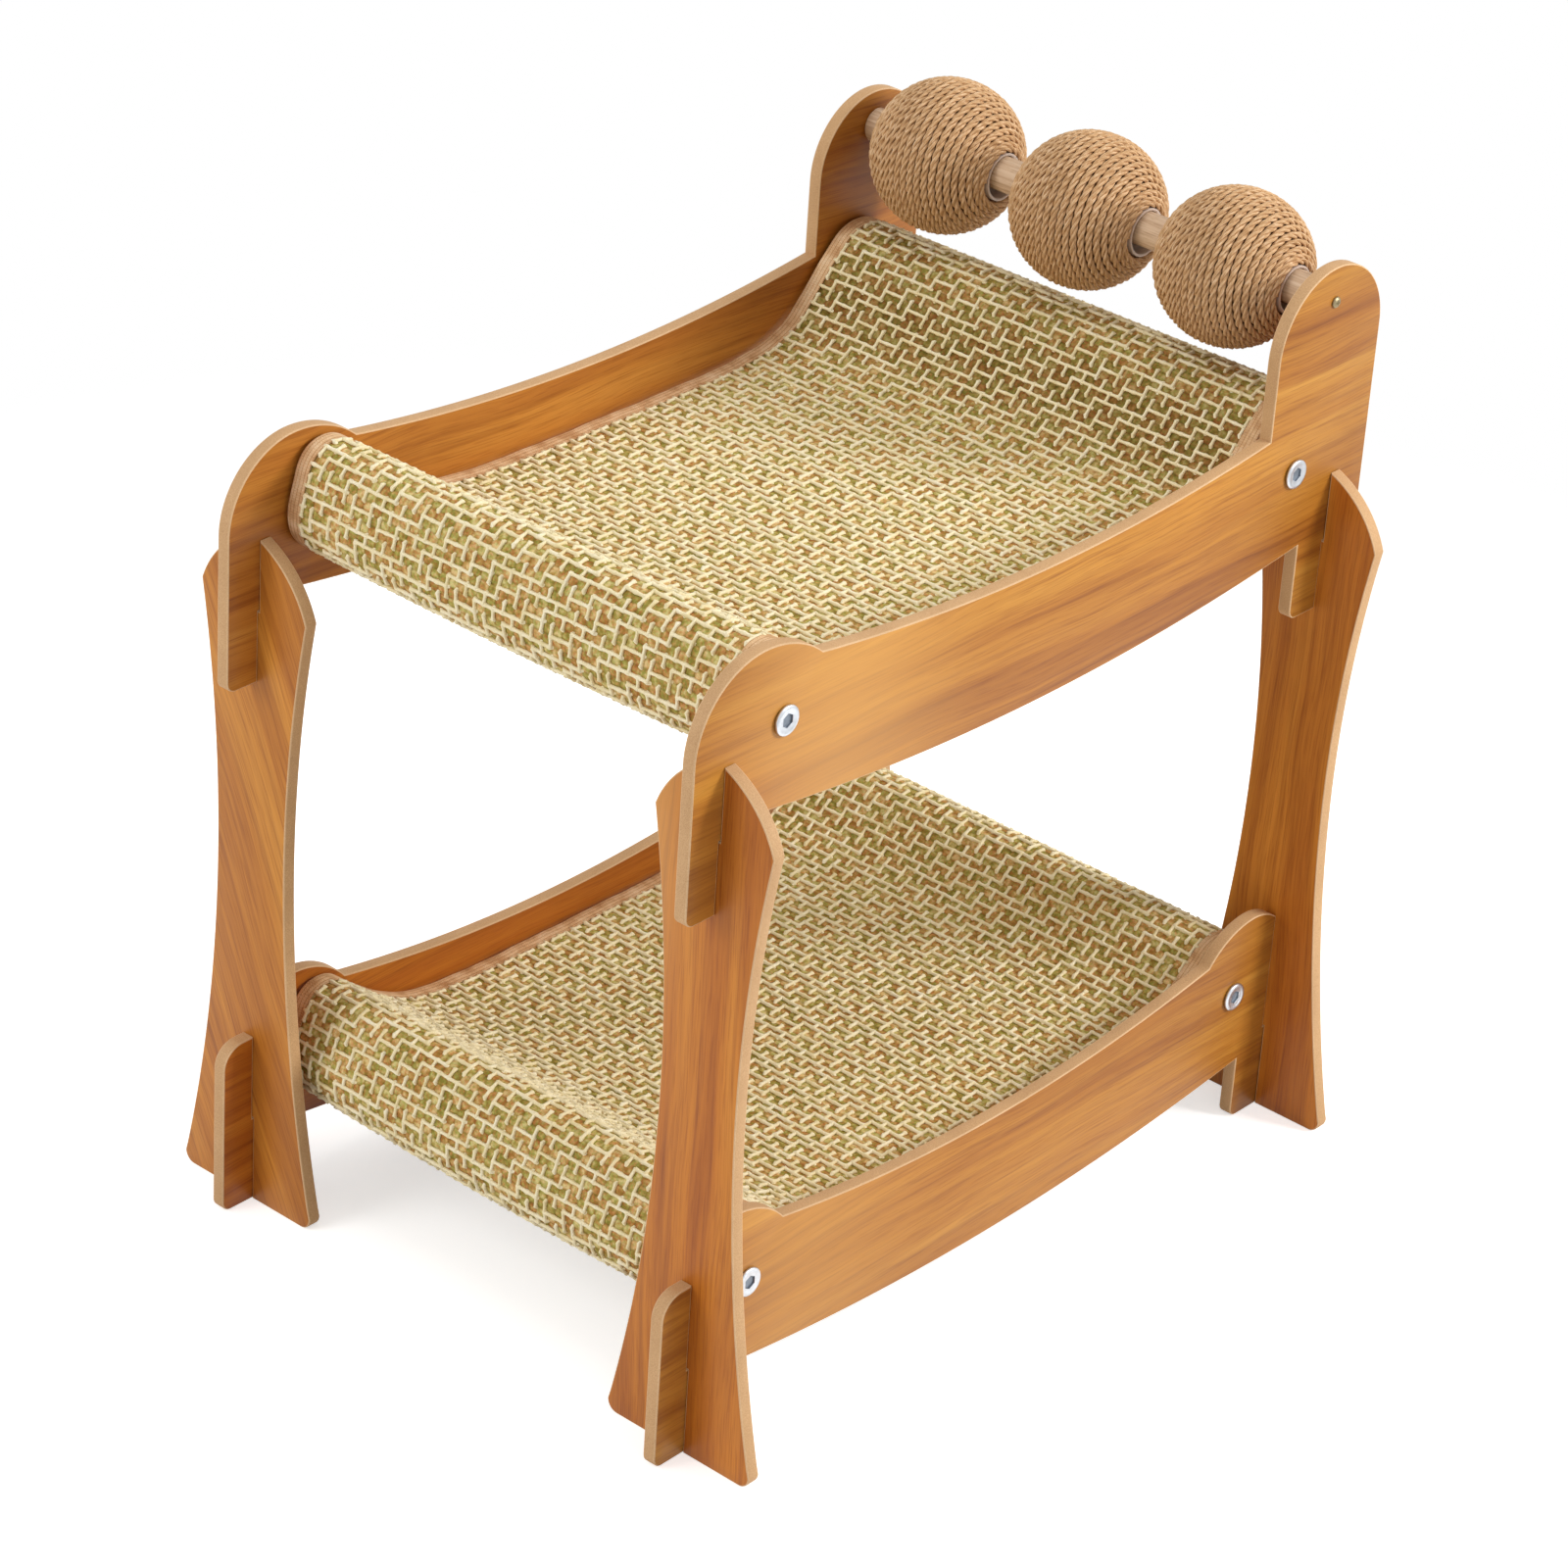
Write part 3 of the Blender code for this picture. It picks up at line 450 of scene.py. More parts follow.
# Side panels of the lower storey: the same board, standing on feet inside and outside
# the legs, with a lobe at either end and a hollow edge between them.
lower_z = 0.0884
lap_z = 0.053
low_lobe_radius, low_lobe_run, low_lobe_rise = 0.052, 0.0395, 0.0469
neck_radius = 0.034
shoulder_z, shoulder_radius = 0.106, 0.014
low_hollow_dip = 0.016
slot_in, slot_out = leg_y - slot_half, leg_y + slot_half
low_lobe_y = panel_end - low_lobe_radius
low_lobe_top = lower_z + low_lobe_rise
shoulder = arc((panel_end - shoulder_radius, shoulder_z - shoulder_radius), shoulder_radius, 0, 90, 20)
rise = math.degrees(math.acos((slot_in - low_lobe_y) / neck_radius))
fall = 180 - math.degrees(math.acos(low_lobe_run / low_lobe_radius))
low_lobe_z = low_lobe_top - low_lobe_radius
low_side = np.concatenate([shoulder, [(slot_out, shoulder_z), (slot_out, lap_z), (slot_in, lap_z)],
                           arc((low_lobe_y, low_lobe_top - neck_radius), neck_radius, rise, 90, 20),
                           arc((low_lobe_y, low_lobe_z), low_lobe_radius, 90, fall, 24)[1:]])
low_hollow = bulged(low_side[-1], low_side[-1] * (-1, 1), low_hollow_dip, 60)
lower_outline = np.concatenate([underside(lower_z, 0.0), low_side, low_hollow[1:-1],
                                mirrored(low_side)])
low_holes = [arc((y, lower_z), bolt_hole, 360, 0, 24)[:-1] for y in (-axis_y, axis_y)]
for name, side in both_sides:
    tint = (0.92, 0.67, 0.34) if side < 0 else (1.0, 1.0, 0.80)
    painted_light = (*painted_light_end, 0.16 * (side + 1))
    grain_print = laminate(f"laminate_lower_{name}", "YZX", 0.0, (0.9 + 0.3 * side, 0.31, 0.02), tint, painted_light)
    sawn_board(f"lower_panel_{name}", lower_outline, low_holes, "X",
               (side * panel_x, 0, 0), grain_print, edge_tan, rim_and_highlight)


# Legs: the same board, cut as a waisted post with wings above and flared feet below,
# slotted down from the top and up from the foot so that the panels lap into it.
# The grain runs up the leg; the front left one is cut askew from its sheet.
waist_half, waist_z = 0.026, 0.220
foot_half, foot_corner = 0.0518, 0.007
wing, wing_bow = (0.0397, leg_top - 0.0375), 0.0055
flare = foot_half - waist_half
spread = wing[0] - waist_half
climb = wing[1] - waist_z
low_radius = (waist_z ** 2 + flare ** 2) / (2 * flare)
high_radius = (climb ** 2 + spread ** 2) / (2 * spread)
low_start = math.degrees(math.asin((waist_z - foot_corner) / low_radius))
low_curve = arc((waist_half + low_radius, waist_z), low_radius, 180 + low_start, 180, 40)
high_end = math.degrees(math.asin(climb / high_radius))
high_curve = arc((waist_half + high_radius, waist_z), high_radius, 180, 180 - high_end, 32)
toe_x = low_curve[0][0] - foot_corner * math.cos(math.radians(low_start))
toe = arc((toe_x, foot_corner), foot_corner, 270, 360, 14)
half_leg = np.concatenate([[(slot_half, lap_z + lap_play), (slot_half, 0.0)], toe, low_curve[1:],
                           high_curve[1:-1], bulged(wing, (slot_half, leg_top), -wing_bow, 28),
                           [(slot_half, upper_lap_z)]])
leg_outline = np.concatenate([half_leg, mirrored(half_leg)])
# Painted light on the front right leg: its wing inside the panel is lighter, as if sunlit.
sunlit_wing = ((0.126, 0.0, 0.38), (0.034, endless, 0.20), 0.45)
for end, y in (("front", -leg_y), ("rear", leg_y)):
    for name, side in both_sides:
        askew = (end, name) == ("front", "left")
        tint = (1.22, 1.18, 1.00) if askew else (1.10, 0.89, 0.56)
        painted_light = sunlit_wing if (end, name) == ("front", "right") else None
        grain_print = laminate(f"laminate_leg_{end}_{name}", "ZXY", 24.0 if askew else 0.0,
                               (0.5 * side + 3 * y, 0.13 * side, 0.0), tint, painted_light)
        sawn_board(f"leg_{end}_{name}", leg_outline, [], "Y", (side * panel_x, y, 0),
                   grain_print, edge_tan, rim_and_highlight)


# Mats: woven from a cream cord and a soft yarn in green and rust, laid over each pair of
# tubes, turned under round them and sewn down, so that they hang in between as a sling.
tube_radius = 0.0225
mat_half = 0.157
mat_thick, cloth_thick = 0.0016, 0.0012
binding_thick = 0.0036
tube_play, hem_gap = 0.0003, 0.0006
corner_half = math.radians(10)
belt_step = 0.0018
weft_pitch, warp_pitch = 0.00556, 0.00668
repeat, ribs_per_cell = 13, 3
sag_above, sag_inside, sag_easing = 0.004, 0.040, 0.020
# Where the upper mat's rear slope takes painted shade.
painted_slope_shade_place, painted_slope_shade_reach = (0, 0.178, 0.432), (endless, 0.055, 0.060)


def belt(height, rolls, seat_drop):
    """Centreline of a mat from the side: a belt round the tube and a slack circle above it,
    the hanging seat as a cubic that leaves each belt at its slope and is level in the middle.
    Each roll is its circle's place, its added radius, its slope and how far the slope reaches."""
    seat_z = height - seat_drop
    halves = []
    for side, (out, up, extra, leave, reach) in zip((-1, 1), rolls):
        hug = (tube_radius + tube_play + binding_thick / 2) / math.cos(corner_half)
        top = tube_radius + extra - mat_thick / 2
        lean = math.degrees(math.atan2(up, out))
        spread = math.degrees(math.acos((hug - top) / math.hypot(out, up)))
        start = 90 + leave + math.degrees(math.acos(1 - (binding_thick + hem_gap) / top))
        under = [arc((out, up), top, start, lean + spread, 12)] if lean + spread > start else []
        loop = np.concatenate([*under, arc((0, 0), hug, lean + spread, lean + 360 - spread, 64),
                               arc((out, up), top, lean + 360 - spread, 450 + leave, 64)])
        loop = loop * (side, 1) + (side * axis_y, height)
        y, z = loop[-1]
        corner = y - side * (z - seat_z) / math.tan(math.radians(leave))
        t = np.linspace(1, 0, 61)[1:]
        inner = 3 * t * (1 - t) * (t + (1 - t) * reach)
        seat = np.stack([inner * corner + t ** 3 * y, seat_z + t ** 3 * (z - seat_z)], axis=1)
        halves.append(np.concatenate([loop, seat]))
    return np.concatenate([halves[0], halves[1][-2::-1]])


def even(path, step):
    """The same path with points evenly apart, and each point's distance along it."""
    ends = np.concatenate([[0], np.cumsum(np.hypot(*np.diff(path, axis=0).T))])
    along = np.linspace(0, ends[-1], round(ends[-1] / step) + 1)
    return np.stack([np.interp(along, ends, path[:, k]) for k in (0, 1)], axis=1), along


def facing(path):
    """Unit normals of a path in its own plane, turned to the left of its direction."""
    along = np.gradient(path, axis=0)
    along /= np.linalg.norm(along, axis=1)[:, None]
    return np.stack([-along[:, 1], along[:, 0]], axis=1)


def on_cloth(mat, x, far, lift):
    """Places on a mat: its centreline at a distance from the rear hem, moved out along its
    normal by the lift; under a roll it hangs lower by the square of the way in from the sides."""
    path, along, height, sag = mat
    out = facing(path)
    run = along[-1] - far
    y, z = (np.interp(run, along, path[:, k]) + np.interp(run, along, out[:, k]) * lift for k in (0, 1))
    under = np.clip((height + sag_above - z) / tube_radius, 0, 1)
    under = under * np.clip((abs(y) - axis_y + sag_inside) / sag_easing, 0, 1)
    return np.stack(np.broadcast_arrays(x, y, z - sag * under * (1 - (x / mat_half) ** 2)), axis=-1)


def keep_places(made, name, *places):
    """Store three numbers on every point of a piece, for its finish to follow."""
    places = np.stack(np.broadcast_arrays(*places), axis=-1).astype(float)
    made.data.attributes.new(name, "FLOAT_VECTOR", "POINT").data.foreach_set("vector", places.reshape(-1))


def in_repeat(line, row, start):
    """Place in the repeat of 13 of a line in a row, where each row moves 3 lines on."""
    return (line - start - 3 * row) % repeat


def yarns(name):
    """Soft flat yarns under the cords: crosswise ones in rows of rust and green, and
    lengthwise ones that pass over them in 5 of every 13 cells of each row. Painted shade darkens
    the creases between the cells and the rear slope of the upper mat."""
    made, tree = new_finish(name, 0.80, Specular_IOR_Level=0.15)
    cloth = node(tree, "Attribute", attribute_name="cloth").outputs["Vector"]
    place = node(tree, "SeparateXYZ", {0: cloth}).outputs
    across = maths(tree, "DIVIDE", place[0], warp_pitch)
    along = maths(tree, "DIVIDE", place[1], weft_pitch)
    column, row = maths(tree, "FLOOR", across), maths(tree, "FLOOR", along)

    def within(value, centre, reach):
        """One where the value is no further than the reach from the centre."""
        return maths(tree, "COMPARE", value, centre, reach)

    moved = maths(tree, "ADD", maths(tree, "MULTIPLY_ADD", row, -3.0, column), 0.25)
    turn = maths(tree, "FLOORED_MODULO", moved, float(repeat))
    warp_over = maths(tree, "MAXIMUM", within(turn, 1.75, 0.9), within(turn, 7.25, 1.4))
    even_row = maths(tree, "LESS_THAN", maths(tree, "FLOORED_MODULO", row, 2.0), 0.5)
    odd_column = maths(tree, "GREATER_THAN", maths(tree, "FLOORED_MODULO", column, 2.0), 0.5)
    rust = node(tree, "Mix", {0: warp_over, 2: even_row, 3: odd_column}).outputs[0]
    ribs, crowns = [], []
    for place_in in (maths(tree, "FRACT", along), maths(tree, "FRACT", across)):
        ribs.append(maths(tree, "SINE", maths(tree, "MULTIPLY", place_in, 2 * math.pi * ribs_per_cell)))
        crowns.append(maths(tree, "SINE", maths(tree, "MULTIPLY", place_in, math.pi)))
    rib = node(tree, "Mix", {0: warp_over, 2: ribs[0], 3: ribs[1]}).outputs[0]
    crown = node(tree, "Mix", {0: warp_over, 2: crowns[0], 3: crowns[1]}).outputs[0]
    cell = node(tree, "CombineXYZ", {0: column, 1: row}).outputs[0]
    dye = node(tree, "TexWhiteNoise", {0: cell}, noise_dimensions="2D").outputs["Value"]
    fuzz = node(tree, "TexNoise", {"Vector": cloth, "Scale": 1100.0, "Detail": 2.0}).outputs["Fac"]
    blotch = node(tree, "TexNoise", {"Vector": cloth, "Scale": 330.0, "Detail": 2.0}).outputs["Fac"]
    stray = node(tree, "TexNoise", {"Vector": cloth, "Scale": 560.0, "Detail": 1.0}).outputs["Fac"]
    rust = maths(tree, "MULTIPLY_ADD", rust, 0.52, maths(tree, "MULTIPLY_ADD", stray, 2.8, -1.18))
    shade = maths(tree, "MULTIPLY_ADD", maths(tree, "SUBTRACT", dye, 0.5), 0.24, blotch)
    green = ramp(tree, shade, (0.30, srgb(137, 129, 52)), (0.52, srgb(175, 166, 86)),
                 (0.72, srgb(214, 203, 136)))
    brown = ramp(tree, shade, (0.30, srgb(173, 113, 56)), (0.52, srgb(205, 152, 92)),
                 (0.72, srgb(232, 197, 140)))
    fleck = ramp(tree, fuzz, (0.30, (0.72, 0.70, 0.64, 1)), (0.60, (1.0, 1.0, 1.0, 1)))
    # Painted shade: the yarn darkens in the creases between cells.
    valley = maths(tree, "MINIMUM", *crowns)
    painted_crease_shade = ramp(tree, valley, (0.12, (0.66, 0.60, 0.48, 1)), (0.55, (1, 1, 1, 1)))
    yarn = mixed(tree, rust, green, brown)
    yarn = toned(tree, 0.75, toned(tree, 0.5, yarn, fleck), painted_crease_shade)
    # Painted shade: the yarn darkens on the rear slope of the upper mat.
    yarn = toned(tree, patch(tree, painted_slope_shade_place, painted_slope_shade_reach), yarn, (0.52, 0.46, 0.36, 1))
    height = maths(tree, "MULTIPLY_ADD", fuzz, 0.35, maths(tree, "MULTIPLY_ADD", rib, 0.15, crown))
    return dressed(made, yarn, height, 0.6, 0.0006)


upper_rolls = ((0.0010, 0.0175, -0.0025, 52.0, 0.90), (0.0060, 0.0115, 0.0075, 47.0, 1.14))
lower_rolls = ((-0.0015, 0.0200, -0.0035, 38.0, 1.0), (0.0010, 0.0080, 0.0015, 40.0, 1.0))
upper_drop, lower_drop = 0.0205, 0.0070
upper_sag, lower_sag = 0.0022, 0.0036
mats = {"upper": (*even(belt(upper_z, upper_rolls, upper_drop), belt_step), upper_z, upper_sag),
        "lower": (*even(belt(lower_z, lower_rolls, lower_drop), belt_step), lower_z, lower_sag)}
cloths = {}
mat_finish = yarns("woven_mat")
for storey, mat in mats.items():
    x, far = np.meshgrid(np.linspace(-mat_half, mat_half, 48), mat[1][-1] - mat[1])
    cloth = piece(f"mat_{storey}_cloth", on_cloth(mat, x, far, 0 * x), grid_faces(*x.shape, False),
                  mat_finish)
    keep_places(cloth, "cloth", x, far, 0)
    shell = cloth.modifiers.new("thickness", "SOLIDIFY")
    shell.thickness = cloth_thick
    shell.offset = 0.0
    cloths[storey] = [cloth]


# Cords of the weave: a cream cord along every row and every column of each mat. It lies
# over the yarns for its showing spaces and under them for the rest, where it shows below.
# Crosswise it shows for a run of 5 and one of 2 in every 13; lengthwise for 7 of every 13.
cord_half, cord_lift = 0.00112, 0.00132
shown, hidden = 0.90, -0.62
weft_kept, weft_idle, weft_down = 0.90, 0.60, -0.10
warp_kept, warp_crossed, warp_down = 0.90, 0.30, -0.20
knotted, plain = 1.22, 0.90
strand_twist = 0.0030
hem_margin = 0.0015
side_columns = 22
weft_sway, weft_wave, row_jitter = 0.00022, 0.0065, 0.00010
warp_sway, warp_wave = 0.00025, 0.0075
any_start = 6.28
chance = np.random.default_rng(26)
ring_turn = np.radians([270, 342, 54, 126, 198])


def corded(name):
    """Cream cord: two strands twisted together, with fine fibres and a few darker lengths."""
    made, tree = new_finish(name, 0.62, Specular_IOR_Level=0.3)
    strand = node(tree, "Attribute", attribute_name="strand").outputs["Vector"]
    place = node(tree, "SeparateXYZ", {0: strand}).outputs
    turns = maths(tree, "MULTIPLY_ADD", place[0], 1 / strand_twist, place[1])
    groove = maths(tree, "ABSOLUTE", maths(tree, "SINE", maths(tree, "MULTIPLY", turns, 2 * math.pi)))
    fibres = stretched_noise(tree, strand, (900.0, 14.0, 5.0), 2.0)
    length = stretched_noise(tree, strand, (90.0, 0.3, 3.7), 2.0)
    colour = ramp(tree, length, (0.25, srgb(230, 212, 158)), (0.50, srgb(245, 231, 190)),
                  (0.75, srgb(252, 243, 214)))
    fleck = ramp(tree, fibres, (0.30, (0.86, 0.83, 0.76, 1)), (0.58, (1.0, 1.0, 1.0, 1)))
    height = maths(tree, "MULTIPLY_ADD", fibres, 0.3, groove)
    return dressed(made, toned(tree, 0.7, colour, fleck), height, 0.35, 0.0003)


def weft_shows(column, row):
    """Where the cord of a row lies on top between a column line and the next."""
    return np.isin(in_repeat(column, row, 1), (0, 1, 2, 3, 4, 8, 9))


def warp_shows(column, row):
    """Where the cord of a column lies on top between a row line and the next."""
    return np.isin(in_repeat(column, row, 11), (0, 1, 3, 5, 7, 9, 11))


def cord_height(third, before, after, kept_up, kept_down):
    """Lift of a cord at each third of a space: shown or hidden in the space, full where it comes
    up or goes down at a crossing, and its own level where it stays up or down there."""
    crossing = np.where(before != after, 1.0, np.where(before & after, kept_up, kept_down))
    return cord_lift * np.where(third == 0, crossing, np.where(after, shown, hidden))


def ring(third):
    """A cord's cross-section at each step: fuller at a crossing, where it swells to a knot."""
    thick = cord_half * np.where(third == 0, knotted, plain)[..., None]
    return thick * np.cos(ring_turn), thick * np.sin(ring_turn)


cord_finish = corded("mat_cord")
for storey, mat in mats.items():
    spaces = (mat[1][-1] - hem_margin) / weft_pitch
    rows = np.arange(1, int(spaces) + 1)
    columns = np.arange(-side_columns, side_columns + 1)
    last_step = 3 * side_columns + 1
    row, step = np.meshgrid(rows, np.arange(-last_step, last_step + 1), indexing="ij")
    column, third = step // 3, step % 3
    idle = ~(warp_shows(column, row - 1) | warp_shows(column, row))
    lift = cord_height(third, weft_shows(column - 1, row), weft_shows(column, row),
                       weft_kept, np.where(idle, weft_idle, weft_down))
    x = step * warp_pitch / 3
    sway = weft_sway * np.sin(x / weft_wave + chance.uniform(0, any_start, len(rows))[:, None])
    far = row * weft_pitch + sway + chance.normal(0, row_jitter, len(rows))[:, None]
    wide, tall = ring(third)
    weft = (x[..., None], far[..., None] + wide, lift[..., None] + tall)
    column, step = np.meshgrid(columns, np.arange(2, int(spaces * 3)), indexing="ij")
    row, third = step // 3, step % 3
    crossed = weft_shows(column - 1, row) & weft_shows(column, row)
    lift = cord_height(third, warp_shows(column, row - 1), warp_shows(column, row),
                       np.where(crossed, warp_crossed, warp_kept), warp_down)
    far = step * weft_pitch / 3
    sway = warp_sway * np.sin(far / warp_wave + chance.uniform(0, any_start, len(columns))[:, None])
    x = column * warp_pitch + sway
    wide, tall = ring(third)
    warp = (x[..., None] + wide, far[..., None], lift[..., None] + tall)
    for name, (x, far, lift), run, flip in (("weft", weft, weft[0], -1), ("warp", warp, warp[1], 1)):
        points = on_cloth(mat, x, far, lift)
        lines, stations, sides = points.shape[:3]
        starts = np.arange(lines) * stations * sides
        quads = grid_faces(stations, sides, True)[None, :, ::flip] + starts[:, None, None]
        caps = np.concatenate([starts[:, None] + np.arange(sides)[::-flip],
                               starts[:, None] + (stations - 1) * sides + np.arange(sides)[::flip]])
        cord = piece(f"mat_{storey}_{name}_cords", points, quads.reshape(-1, 4).tolist() + caps.tolist(),
                     cord_finish)
        keep_places(cord, "strand", run, np.arange(sides) / sides, np.arange(lines)[:, None, None])
        cloths[storey].append(cord)
    for made in cloths[storey]:
        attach(made, "frame")
        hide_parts(f"mat_{storey}")


# Edge binding: a ribbed cotton tape folded over both side edges of each mat and sewn down
# beside its mouth, where the stitches press a shallow dent.
tape_thick, tape_width = 0.0007, 0.009
fold_inset = 0.0008
rib_pitch, cross_pitch = 0.0014, 0.0024
dent_depth, dent_place, dent_width = 0.0005, 0.0022, 0.0006
fine_ripple, fine_wave = 0.0001, 0.0041
slow_ripple, slow_wave = 0.00015, 0.0097


def taped(name):
    """Cotton tape: ribs across its length in a pinkish tan."""
    made, tree = new_finish(name, 0.85, Specular_IOR_Level=0.15)
    tape = node(tree, "Attribute", attribute_name="tape").outputs["Vector"]
    place = node(tree, "SeparateXYZ", {0: tape}).outputs
    ribs = maths(tree, "SINE", maths(tree, "MULTIPLY", place[1], 2 * math.pi / rib_pitch))
    cross = maths(tree, "SINE", maths(tree, "MULTIPLY", place[0], 2 * math.pi / cross_pitch))
    fuzz = node(tree, "TexNoise", {"Vector": tape, "Scale": 700.0, "Detail": 3.0}).outputs["Fac"]
    cloud = node(tree, "TexNoise", {"Vector": tape, "Scale": 90.0, "Detail": 2.0}).outputs["Fac"]
    lines = maths(tree, "MULTIPLY", maths(tree, "POWER", maths(tree, "MAXIMUM", cross, 0.0), 6.0), -0.34)
    shade = maths(tree, "ADD", maths(tree, "MULTIPLY_ADD", ribs, 0.04, cloud), lines)
    colour = ramp(tree, shade, (0.26, srgb(186, 138, 92)), (0.50, srgb(223, 183, 138)),
                  (0.75, srgb(238, 207, 168)))
    thread = ramp(tree, fuzz, (0.30, (0.80, 0.78, 0.76, 1)), (0.60, (1, 1, 1, 1)))
    height = maths(tree, "MULTIPLY_ADD", maths(tree, "MULTIPLY", ribs, cross), 0.4, fuzz)
    return dressed(made, toned(tree, 0.6, colour, thread), height, 0.6, 0.0004)


def capped_faces(rows, columns):
    """Quads along a closed shape and one flat face at each of its two ends."""
    last = (rows - 1) * columns
    return grid_faces(rows, columns, True).tolist() + [np.arange(columns)[::-1].tolist(),
                                                       (np.arange(columns) + last).tolist()]


tape_finish = taped("binding_tape")
fold_turn = np.radians(np.linspace(-90, 90, 9))
bent = np.stack([np.cos(fold_turn), np.sin(fold_turn)], axis=1)
outer_half, inner_half = binding_thick / 2, binding_thick / 2 - tape_thick
mouth, fold = mat_half - tape_width, mat_half - fold_inset
flank = np.linspace(mouth, fold, 10)[:-1]
dent = outer_half - dent_depth * np.exp(-((flank - mouth - dent_place) / dent_width) ** 2)
section = np.concatenate([np.stack([flank, -dent], axis=1), (fold, 0) + outer_half * bent,
                          np.stack([flank, dent], axis=1)[::-1], [(mouth, inner_half)],
                          ((fold, 0) + inner_half * bent)[::-1], [(mouth, -inner_half)]])
girth = np.cumsum(np.concatenate([[0], np.hypot(*np.diff(section, axis=0).T)]))
bindings = {"upper": [], "lower": []}
for storey, mat in mats.items():
    far = (mat[1][-1] - mat[1])[:, None]
    for name, side in both_sides:
        ripple = (fine_ripple * np.sin(far / fine_wave + 2 * side)
                  + slow_ripple * np.sin(far / slow_wave + side))
        points = on_cloth(mat, side * (section[:, 0] + ripple), far, section[:, 1] + 0.5 * ripple)
        faces = capped_faces(len(far), len(section))
        if side > 0:
            faces = [face[::-1] for face in faces]
        tape = piece(f"binding_{storey}_{name}_tape", points, faces, tape_finish)
        keep_places(tape, "tape", girth, far, side)
        tape.data.set_sharp_from_angle(angle=math.radians(50))
        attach(tape, "frame")
        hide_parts(f"binding_{storey}_{name}")
        bindings[storey].append(tape)


# Bolts: plated steel with a wide flange and a hexagon socket, screwed through each
# panel into a captive nut in the plug of a cross tube.
def plated(name, colour, rough):
    """Zinc plate: bright grey steel with a faint cloud and fine scratches."""
    made, tree = new_finish(name, rough, Metallic=1.0)
    place = node(tree, "TexCoord").outputs["Object"]
    cloud = stretched_noise(tree, place, (420.0, 420.0, 420.0), 3.0)
    scratch = stretched_noise(tree, place, (300.0, 2600.0, 900.0), 2.0)
    low = tuple(0.86 * part for part in colour[:3]) + (1.0,)
    colour = ramp(tree, cloud, (0.35, low), (0.65, colour))
    worn = maths(tree, "MULTIPLY_ADD", scratch, 0.22, rough - 0.08)
    return dressed(made, colour, scratch, 0.08, 0.0002, worn)


def turned(profile, segments, shape=None):
    """A profile of (x, radius) carried round the X axis; shape pulls each ring towards a hexagon."""
    around = np.radians(np.arange(segments) * 360.0 / segments)
    profile = np.asarray(profile, float)
    hexagon = math.cos(math.pi / 6) / np.cos((around + math.pi / 6) % (math.pi / 3) - math.pi / 6)
    pull = np.zeros(len(profile)) if shape is None else np.asarray(shape, float)
    radius = profile[:, 1, None] * ((1 - pull[:, None]) + pull[:, None] * hexagon[None])
    x = np.broadcast_to(profile[:, 0, None], radius.shape)
    return np.stack([x, radius * np.cos(around), radius * np.sin(around)], axis=2)


steel = plated("plated_steel", srgb(214, 218, 223), 0.30)
# Painted shade: a darker steel on the socket's faces, for the shade in the recess.
painted_socket_shade = plated("bolt_socket_painted_shade", srgb(138, 146, 156), 0.45)
seat_x = 0.1683
socket = 0.0070 / math.sqrt(3)
bolt_sides, socket_bands = 72, 4
# Each ring's place along the bolt, its radius, and one where it is a hexagon.
bolt_rings = np.array([
    (-0.030, 0.0020, 0), (-0.0292, 0.0028, 0), (0.0, 0.0028, 0), (0.0, 0.0080, 0), (0.0003, 0.0083, 0),
    (0.0010, 0.0085, 0), (0.0016, 0.0084, 0), (0.0020, 0.0080, 0), (0.0022, 0.0073, 0),
    (0.0022, 0.0064, 0), (0.0020, 0.0057, 0), (0.0019, 0.0051, 0), (0.0019, 0.0046, 0),
    (0.0018, socket * 1.05, 1), (0.0016, socket * 1.01, 1), (0.0007, socket, 1),
    (0.0006, socket * 0.9, 1), (0.0005, 0.0006, 1)])
for storey, z in (("upper", upper_z), ("lower", lower_z)):
    for end, y in (("front", -axis_y), ("rear", axis_y)):
        for name, side in both_sides:
            shape = turned(bolt_rings[:, :2], bolt_sides, bolt_rings[:, 2])
            shape = (shape + (seat_x, 0, 0)) * (side, side, 1) + (0, y, z)
            bolt = piece(f"bolt_{storey}_{end}_{name}_head", shape,
                         capped_faces(len(bolt_rings), bolt_sides), steel)
            bolt.data.materials.append(painted_socket_shade)
            # The socket's last rings take the painted shade.
            in_socket = np.arange(len(bolt.data.polygons)) // bolt_sides >= len(bolt_rings) - socket_bands
            bolt.data.polygons.foreach_set("material_index", in_socket.astype(np.int32))
            bolt.data.set_sharp_from_angle(angle=math.radians(40))
            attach(bolt, "frame")
            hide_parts(f"bolt_{storey}_{end}_{name}")


